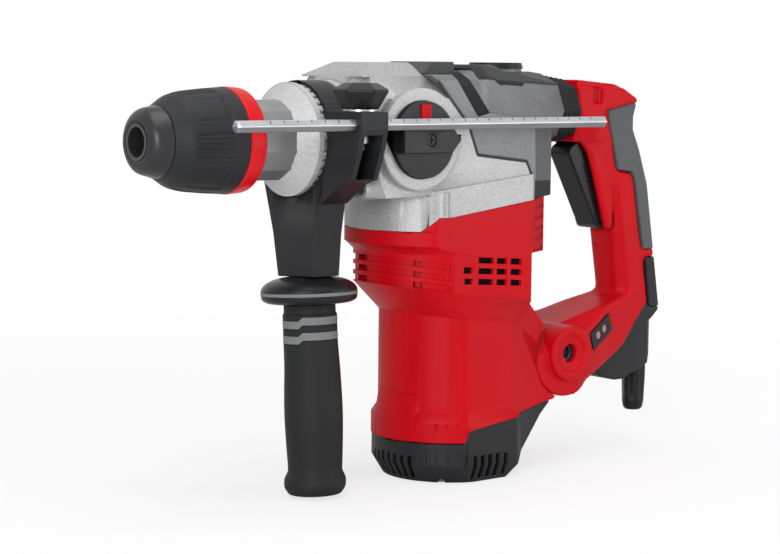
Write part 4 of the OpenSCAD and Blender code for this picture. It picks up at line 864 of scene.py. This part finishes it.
# %% Handle
def melted(node, finish, grain, rounds, soft):
    """A copy of a solid is rebuilt as a fine skin of squares of grain mm. Then every corner drifts towards the mean
    of its neighbours and, by a little less, back again, so edges melt while the form nearly keeps its size.
    soft(x, y, z) says how much, from 0 to 1."""
    source = frame["nodes"][node]
    rough_copy = bpy.data.objects.new(node + "_rough", source.data.copy())
    scene.collection.objects.link(rough_copy)
    weld = rough_copy.modifiers.new("join", "WELD")
    weld.merge_threshold = WELD
    skin_maker = rough_copy.modifiers.new("skin", "REMESH")
    skin_maker.mode, skin_maker.voxel_size, skin_maker.adaptivity = "VOXEL", grain * MM, 0.0
    mesh = bpy.data.meshes.new_from_object(rough_copy.evaluated_get(bpy.context.evaluated_depsgraph_get()))
    bpy.data.objects.remove(rough_copy)
    mesh.name = node + "_melted"
    place, ends = read(mesh.vertices, "co", 3), read(mesh.edges, "vertices", 2, np.int32)
    one, two = np.concatenate([ends[:, 0], ends[:, 1]]), np.concatenate([ends[:, 1], ends[:, 0]])
    count = np.bincount(one, minlength=len(place))[:, None]
    share = np.clip(soft(*(place / MM).T), 0.0, 1.0)[:, None]
    for drift in [0.60, -0.40] * rounds:
        mean = np.stack([np.bincount(one, place[two, axis], len(place)) for axis in range(3)], -1) / count
        place = place + drift * share * (mean - place)
    mesh.vertices.foreach_set("co", place.ravel())
    mesh.update()
    return settle(mesh.name, mesh, finish, source["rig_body"], (node,), 75.0)


def palm(x, y, z):
    """The grip and the arm melt freely; the head, the pivot boss and the seat of the window only a little."""
    free = step(x, 346.0, 8.0) * window(z, -152.0, -12.0, 8.0)
    seat = np.hypot(np.hypot(x - 365.0, y + 25.0), z + 137.5)
    back = np.interp(z, [-140.0, -118.0, -84.0, -60.0, -12.0], [424.0, 421.0, 419.0, 412.0, 396.0])
    return 0.03 + 0.97 * free * step(seat, 21.0, 5.0) * (1.0 - 0.85 * step(x, back, 4.0))


def heel(x, y, z):
    """Below and behind a slanting plane, where the foot of the handle is black."""
    return 0.762 * (x - 405.0) - 0.647 * (z + 136.3) > 0


handle = melted("rear_handle", red_shell, 1.1, 90, palm)
split_finish(handle, black_shell, heel)

# %% [markdown]
# ## Pads, trigger and gland
# Soft grey pads are let into the handle's back, and the lowest one is black. A long trigger sits in front,
# and the gland of the lead below. They are separate mouldings with plain rounds, so softened copies do.

# %% Pads, trigger, window and gland
LOWEST_PAD = -86.0
pads = softened("grip_pads", pad_rubber, 1.2)
split_finish(pads, black_shell, lambda x, y, z: z < LOWEST_PAD)
softened("trigger", black_smooth, 1.6, 4)
softened("lamp_window", window_tint, 0.3, 2)
softened("cord_gland", black_shell, 1.4)
softened("pivot_pin", dark_steel, 0.3, 2)

# %% [markdown]
# ## Two lamps in the window
# Behind the smoked window two small lamps show. Each is a domed lens, turned once and used twice, and the
# pair is tipped and swung to lie in the window's plane.

# %% Lamps
WINDOW_AT = (365.0, -24.75, -137.5)


def at_window(points):
    """Window coordinates, with y into the handle, turned by -25 degrees about Y, by 15.4 about Z and moved."""
    tip, swing = np.radians([-25.0, 15.4])
    x, y, z = np.asarray(points, float).T
    x, z = x * math.cos(tip) + z * math.sin(tip), z * math.cos(tip) - x * math.sin(tip)
    x, y = x * math.cos(swing) - y * math.sin(swing), x * math.sin(swing) + y * math.cos(swing)
    return np.stack([x, y, z], -1) + WINDOW_AT


lens_outline = np.array([[-0.75, 0.0], [-0.72, 1.2], [-0.6, 2.2], [-0.3, 2.75], [0.9, 2.8], [0.9, 0.0]])
lens, lens_faces = turned(lens_outline, 48, closed=False)
lens = np.stack([lens[:, 1], lens[:, 0], lens[:, 2]], -1)
piece("window_lamps", np.vstack([at_window(lens + [-4.5, 0, 0]), at_window(lens + [4.5, 0, 0])]),
      np.vstack([lens_faces, lens_faces + len(lens)]), lamp_lens, "handle", "lamp_lens")

# %% [markdown]
# ## The bellows
# A rubber bellows joins the duct to the handle, which swings a little on its pivot. Its folds are a cosine
# along the outline, and the turned shape is pressed to eight sides. One end belongs to the casing and the
# other to the handle, and the piece rides on neither body.

# %% Bellows between the duct and the handle
BELLOWS_X, FOLD_PITCH, BELLOWS_BORE, DUCT_Z = (326.1, 344.9), 4.7, 16.5, 17.0


def eight_sided(along, a, radius):
    """A circle becomes an octagon with worn corners on the axes: the radius shrinks to cos 22.5 / cos of the
    angle from the nearest flat."""
    off = a % (np.pi / 4) - np.pi / 8
    return radius * (np.minimum(math.cos(np.pi / 8) / np.cos(off), 0.985) - 1.0) * (radius > 17.5)


fold_x = np.linspace(*BELLOWS_X, 97)
fold_r = np.interp(fold_x, [326.0, 345.0], [23.6, 20.9])
fold_r = fold_r + 0.85 * np.cos(2 * np.pi * (fold_x - BELLOWS_X[0]) / FOLD_PITCH)
bellows_outline = np.vstack([np.stack([fold_x, fold_r], -1),
                             [[BELLOWS_X[1], BELLOWS_BORE], [BELLOWS_X[0], BELLOWS_BORE]]])
bellows_points, bellows_faces = turned(bellows_outline, 160, eight_sided)
folds = piece("handle_bellows_folds", bellows_points + [0.0, 0.0, DUCT_Z], bellows_faces, grip_rubber, None,
              "black_rubber", ("handle_bellows",), 60.0)
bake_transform(folds)

# %% [markdown]
# ## The boot of the lead
# A tapered rubber boot keeps the lead from kinking. It is turned like the rest, with six flutes pressed into
# its outside, and then stood on end.

# %% Boot of the lead
BOOT_X = 424.0


def upright(points, x, y):
    """A shape turned round X is stood on end: along becomes height at the place (x, y)."""
    return np.stack([x + points[:, 2], y + points[:, 1], points[:, 0]], -1)


def fluted(along, a, radius):
    """Six shallow flutes run down the outside and fade at both ends."""
    return -0.75 * (radius > 5.2) * window(along, -192.0, -158.0, 4.0) * (0.5 + 0.5 * np.cos(6 * a))


boot_outline = evenly(eased(
    [[-150.2, 4.75], [-150.2, 8.65], [-176.0, 8.65], [-195.0, 7.85], [-199.5, 6.9], [-201.0, 5.4], [-201.0, 4.75]],
    [0.2, 0.8, 4.0, 2.0, 1.2, 0.5, 0.1]), 1.0)
boot_points, boot_faces = turned(boot_outline, 120, fluted)
piece("cord_boot", upright(boot_points, BOOT_X, 0.0), boot_faces, black_smooth, "handle", "black_rubber",
      ("cord_guard",))

# %% [markdown]
# ## The side handle
# A band clamps round the barrel and carries an arm, and a knob pulls it tight with a bolt. These are
# moulded with flats and small rounds, so softened copies of their solids are enough.

# %% Clamp, knob and bolt
softened("side_clamp", black_shell, 0.9)
softened("clamp_knob", black_smooth, 1.3, 4)
softened("clamp_bolt", bright_steel, 0.3, 2)

# %% [markdown]
# ## Guard and trim
# A round guard keeps the hand from sliding up, with a grey ring let into its rim. The grip hangs with a
# slight lean, so its turned shapes are stood on end at the grip's place and then tipped by the lean.

# %% Guard and trim
LEAN, GRIP_X = math.radians(3.4), 123.8


def hung(points):
    """Stood on end at the grip's place, then turned about X by the lean."""
    x, y, z = upright(points, GRIP_X, 0.0).T
    return np.stack([x, y * math.cos(LEAN) + z * math.sin(LEAN), z * math.cos(LEAN) - y * math.sin(LEAN)], -1)


guard_outline = eased(
    [[-86.3, 5.1], [-86.3, 15.0], [-88.0, 23.0], [-91.0, 28.5], [-94.2, 30.5], [-95.4, 30.5], [-95.4, 28.0],
     [-97.8, 28.0], [-97.8, 30.5], [-100.6, 30.1], [-102.6, 27.0], [-103.4, 17.0], [-103.4, 5.1]],
    [0.2, 4.0, 4.0, 3.0, 1.0, 0.3, 0.1, 0.1, 0.3, 1.2, 1.6, 2.0, 0.2])
guard_points, guard_faces = turned(guard_outline, 144)
piece("guard_disc_black", hung(guard_points), guard_faces, black_smooth, "side_grip", "black_plastic",
      ("guard_disc",))
trim_outline = eased([[-97.7, 28.1], [-97.7, 30.7], [-95.5, 30.7], [-95.5, 28.1]], [0.1, 0.5, 0.5, 0.1])
trim_points, trim_faces = turned(trim_outline, 144)
piece("guard_trim_grey", hung(trim_points), trim_faces, stripe_grey, "side_grip", "grey_trim", ("guard_trim",))

# %% [markdown]
# ## The grip and its stripes
# The rubber grip swells towards the palm and flares at its end. Two grey stripes lie in sunk bands and jog by
# a few millimetres half way round. One function gives that jog to both, so that stripe and band stay together.

# %% Grip and its stripes
STRIPES = (-116.0, -125.5)


def jog(a):
    """The stripes drop by 2.4 mm on about one half of the turn, with a short ramp at each end."""
    degrees = (np.degrees(a) + 58.0 + 180.0) % 360.0 - 180.0
    return -2.4 * (1.0 - step(degrees, 0.0, 6.0) + step(degrees, 174.0, 6.0))


def palm_swell(along, a, radius):
    """The grip swells towards the palm, and two sunk bands follow the stripes."""
    outside = radius > 15.0
    band = sum(window(along - jog(a), low - 0.15, low + 5.15, 0.15) for low in STRIPES)
    swell = 0.7 * np.sin(a) * window(along, -214.0, -135.0, 12.0)
    return outside * (swell - 0.9 * band)


grip_outline = evenly(eased(
    [[-131.0, 0.0], [-131.0, 5.1], [-103.6, 5.1], [-103.6, 16.4], [-109.0, 16.4], [-110.0, 17.2], [-128.5, 17.2],
     [-140.0, 17.5], [-170.0, 18.7], [-188.0, 18.2], [-207.5, 17.2], [-209.5, 17.3], [-214.0, 19.6], [-219.5, 19.6],
     [-223.9, 16.6], [-223.9, 0.0]],
    [0.0, 0.2, 0.2, 0.5, 0.5, 0.6, 3.0, 8.0, 12.0, 10.0, 1.5, 1.2, 1.6, 2.0, 1.4, 0.0]), 0.45)
first_row = int(np.argmin(np.hypot(grip_outline[:, 0] + 131.0, grip_outline[:, 1])))
grip_outline = np.roll(grip_outline, -first_row, 0)
off_axis, at_end = grip_outline[:, 1] > 1e-6, (grip_outline[:, 0] > -131.01) | (grip_outline[:, 0] < -223.8)
grip_points, grip_faces = turned(grip_outline[off_axis | at_end], 192, palm_swell, closed=False)
piece("side_grip_rubber", hung(grip_points), grip_faces, grip_rubber, "side_grip", "black_rubber", ("side_grip",),
      50.0)
bands = []
for low in STRIPES:
    band_outline = eased([[low + 0.05, 15.7], [low + 0.05, 17.3], [low + 4.95, 17.3], [low + 4.95, 15.7]],
                         [0.1, 0.3, 0.3, 0.1])
    bands.append(turned(band_outline, 192, slide=jog))
stripe_points = np.vstack([hung(points) for points, faces in bands])
stripe_faces = np.vstack([bands[0][1], bands[1][1] + len(bands[0][0])])
piece("grip_stripes_grey", stripe_points, stripe_faces, stripe_grey, "side_grip", "grey_trim", ("grip_stripes",))

# %% [markdown]
# ## The depth rod
# A zinc-plated hexagon bar with a mark every 10 mm. The bar is one hexagon outline carried along X
# with its ends drawn in, and all the marks are small sunk blocks in a single mesh.

# %% Depth rod
ROD_CORNER, ROD_AT, SHADE_BELOW, MARK_GAP = 4.04, [-63.0, 10.6], 9.8, 10.0
corner = np.radians(np.arange(6) * 60.0)
hexagon = eased(np.stack([ROD_CORNER * np.cos(corner), ROD_CORNER * np.sin(corner)], -1), 0.45, 3)
station = np.array([[27.0, 0.0], [27.0, 0.70], [27.35, 0.78], [28.2, 1.0], [176.0, 1.0], [323.8, 1.0], [324.6, 0.8],
                    [325.0, 0.7], [325.0, 0.0]])
rod_points = np.concatenate([np.repeat(station[:, None, :1], len(hexagon), 1),
                             hexagon[None] * station[:, None, 1:] + ROD_AT], -1)
rod = piece("depth_rod_hexagon", rod_points.reshape(-1, 3), net(len(station), len(hexagon)), zinc_rod, "depth_rod",
            "bright_steel", ("depth_rod",), 25.0)
# Faces below SHADE_BELOW get the darker zinc, painted shade on the lower facets.
split_finish(rod, rod_painted_shade, lambda x, y, z: z < SHADE_BELOW)

# %% Marks on the rod
mark_x = np.arange(50.0, 320.0, MARK_GAP)
slope = np.array([[1.0, 0.0, 0.0], [0.0, 0.5, 0.866], [0.0, -0.866, 0.5]])
long_mark = np.arange(len(mark_x)) % 5 == 0
face_middle = np.array([0.0, -66.03, 12.35])
centres = np.outer(mark_x, [1, 0, 0]) + face_middle + np.outer(np.where(long_mark, 0.65, 0.95), slope[1])
sizes = np.stack([np.full(len(mark_x), 0.28), np.where(long_mark, 1.05, 0.7), np.full(len(mark_x), 0.06)], -1)
piece("depth_rod_marks", *blocks(centres, slope, sizes), shadow_black, "depth_rod", "dark_steel")

# %% [markdown]
# ## What sits inside
# The works keep their own solids. They are seen only through the slots and the bit socket, but each
# still gets the finish of its real material.

# %% Finishes for the works
INSIDE = {
    dark_steel: ["tool_holder", "lay_shaft", "crank_wheel", "crown_gear", "armature_shaft", "ram", "trigger_pin"],
    bright_steel: ["locking_rollers", "needle_bearing", "spindle_bearing", "impact_bolt", "wrist_pin", "con_rod",
                   "impact_cylinder", "motor_bearings", "grip_stud"],
    inner_case: ["piston", "gear_plate"],
    iron_core: ["armature_core", "stator"],
    copper_wire: ["windings", "field_coils", "commutator"],
    brass_box: ["brush_holders"],
    carbon_block: ["carbon_brushes"],
    black_smooth: ["cooling_fan", "brush_ring", "switch_block"],
    grip_rubber: ["front_seal"],
}
for finish, names in INSIDE.items():
    for name in names:
        node = frame["nodes"][name]
        node.data.materials.clear()
        node.data.materials.append(finish)
print("works finished:", sum(len(names) for names in INSIDE.values()))

# %% [markdown]
# ## Studio
# A wide pale floor, a white room and three soft lights. The floor is a disc of rings that shows nearly
# white to the camera, and whiter with distance, but keeps the tool's shadow.

# %% Floor
FLOOR_Z = -225.3
floor_r = np.array([0.0, 0.6, 1.5, 4.0, 14.0])[:, None] / MM
floor_a = np.linspace(0.0, 2 * np.pi, 64, endpoint=False)[None, :]
floor_points = np.stack([200.0 + floor_r * np.cos(floor_a), floor_r * np.sin(floor_a),
                         FLOOR_Z + 0 * floor_r * floor_a], -1)
floor_mesh = bpy.data.meshes.new("studio_floor")
floor_mesh.from_pydata((floor_points.reshape(-1, 3) * MM).tolist(), [], net(5, 64).tolist())
floor = bpy.data.objects.new("studio_floor", floor_mesh)
scene.collection.objects.link(floor)
floor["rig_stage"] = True
paper, tree, shader, place = blank_finish("studio_paper", (0.86, 0.86, 0.86), 0.9)
seen = wire(tree, "ShaderNodeLightPath").outputs["Is Camera Ray"]
glow = wire(tree, "ShaderNodeEmission", {"Color": (1, 1, 1, 1), "Strength": 1.0})
distance = wire(tree, "ShaderNodeVectorMath", {0: place}, operation="LENGTH").outputs["Value"]
pale = spread(tree, distance, 0.72, 1.0, 0.35, 1.1)
share = wire(tree, "ShaderNodeMath", {0: seen, 1: pale}, operation="MULTIPLY")
blend_paper = wire(tree, "ShaderNodeMixShader", {"Fac": share.outputs[0]})
tree.links.new(shader.outputs[0], blend_paper.inputs[1])
tree.links.new(glow.outputs[0], blend_paper.inputs[2])
tree.links.new(blend_paper.outputs[0], tree.nodes["Material Output"].inputs["Surface"])
floor_mesh.materials.append(paper)
print("floor:", len(floor_mesh.polygons), "faces")

# %% [markdown]
# ## Room and lights
# The room shows white to the camera and to gloss, and lights the tool at a calmer level. The light on the
# left is the strongest, because it gives the front of the tool its shape. One above and a weaker one on the
# right fill the rest.

# %% Room and lights
ROOM_LIGHT, ROOM_SEEN = 0.42, 1.0
room = bpy.data.worlds.new("white_room")
room.use_nodes = True
scene.world = room
tree = room.node_tree
back = tree.nodes["Background"]
back.inputs["Color"].default_value = (1.0, 1.0, 1.0, 1.0)
path = wire(tree, "ShaderNodeLightPath")
either = wire(tree, "ShaderNodeMath", {0: path.outputs["Is Camera Ray"], 1: path.outputs["Is Glossy Ray"]},
              operation="MAXIMUM")
either = wire(tree, "ShaderNodeMath", {0: either.outputs[0], 1: path.outputs["Is Transmission Ray"]},
              operation="MAXIMUM")
level_out = wire(tree, "ShaderNodeMapRange", {"Value": either.outputs[0], "To Min": ROOM_LIGHT, "To Max": ROOM_SEEN})
tree.links.new(level_out.outputs[0], back.inputs["Strength"])


def softbox(name, place, aim, size, watts):
    """A square area light at a place in metres that faces a point."""
    data = bpy.data.lights.new(name, "AREA")
    data.shape, data.size, data.energy = "SQUARE", size, watts
    lamp = bpy.data.objects.new(name, data)
    lamp.location = place
    lamp.rotation_mode = "QUATERNION"
    lamp.rotation_quaternion = (Vector(aim) - Vector(place)).to_track_quat("-Z", "Y")
    scene.collection.objects.link(lamp)
    return lamp


softbox("right_softbox", (1.3, -1.45, 0.22), (0.2, 0.0, -0.05), 0.8, 9.0)
softbox("top_softbox", (0.1, -0.2, 1.5), (0.2, 0.0, 0.0), 1.2, 14.0)
softbox("left_softbox", (-1.25, -1.1, 0.35), (0.2, 0.0, -0.05), 0.8, 23.0)
scene.view_settings.view_transform = "Standard"

# %% [markdown]
# ## Measure the dressed tool
# The dressed tool's box is measured, and how much it has grown beyond the box of the bare solids is printed.

# %% Finish
low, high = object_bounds()
grown = (high - low) - (Vector(cad_high) - Vector(cad_low))
print("grown by", [round(float(side) / MM, 1) for side in grown], "mm")
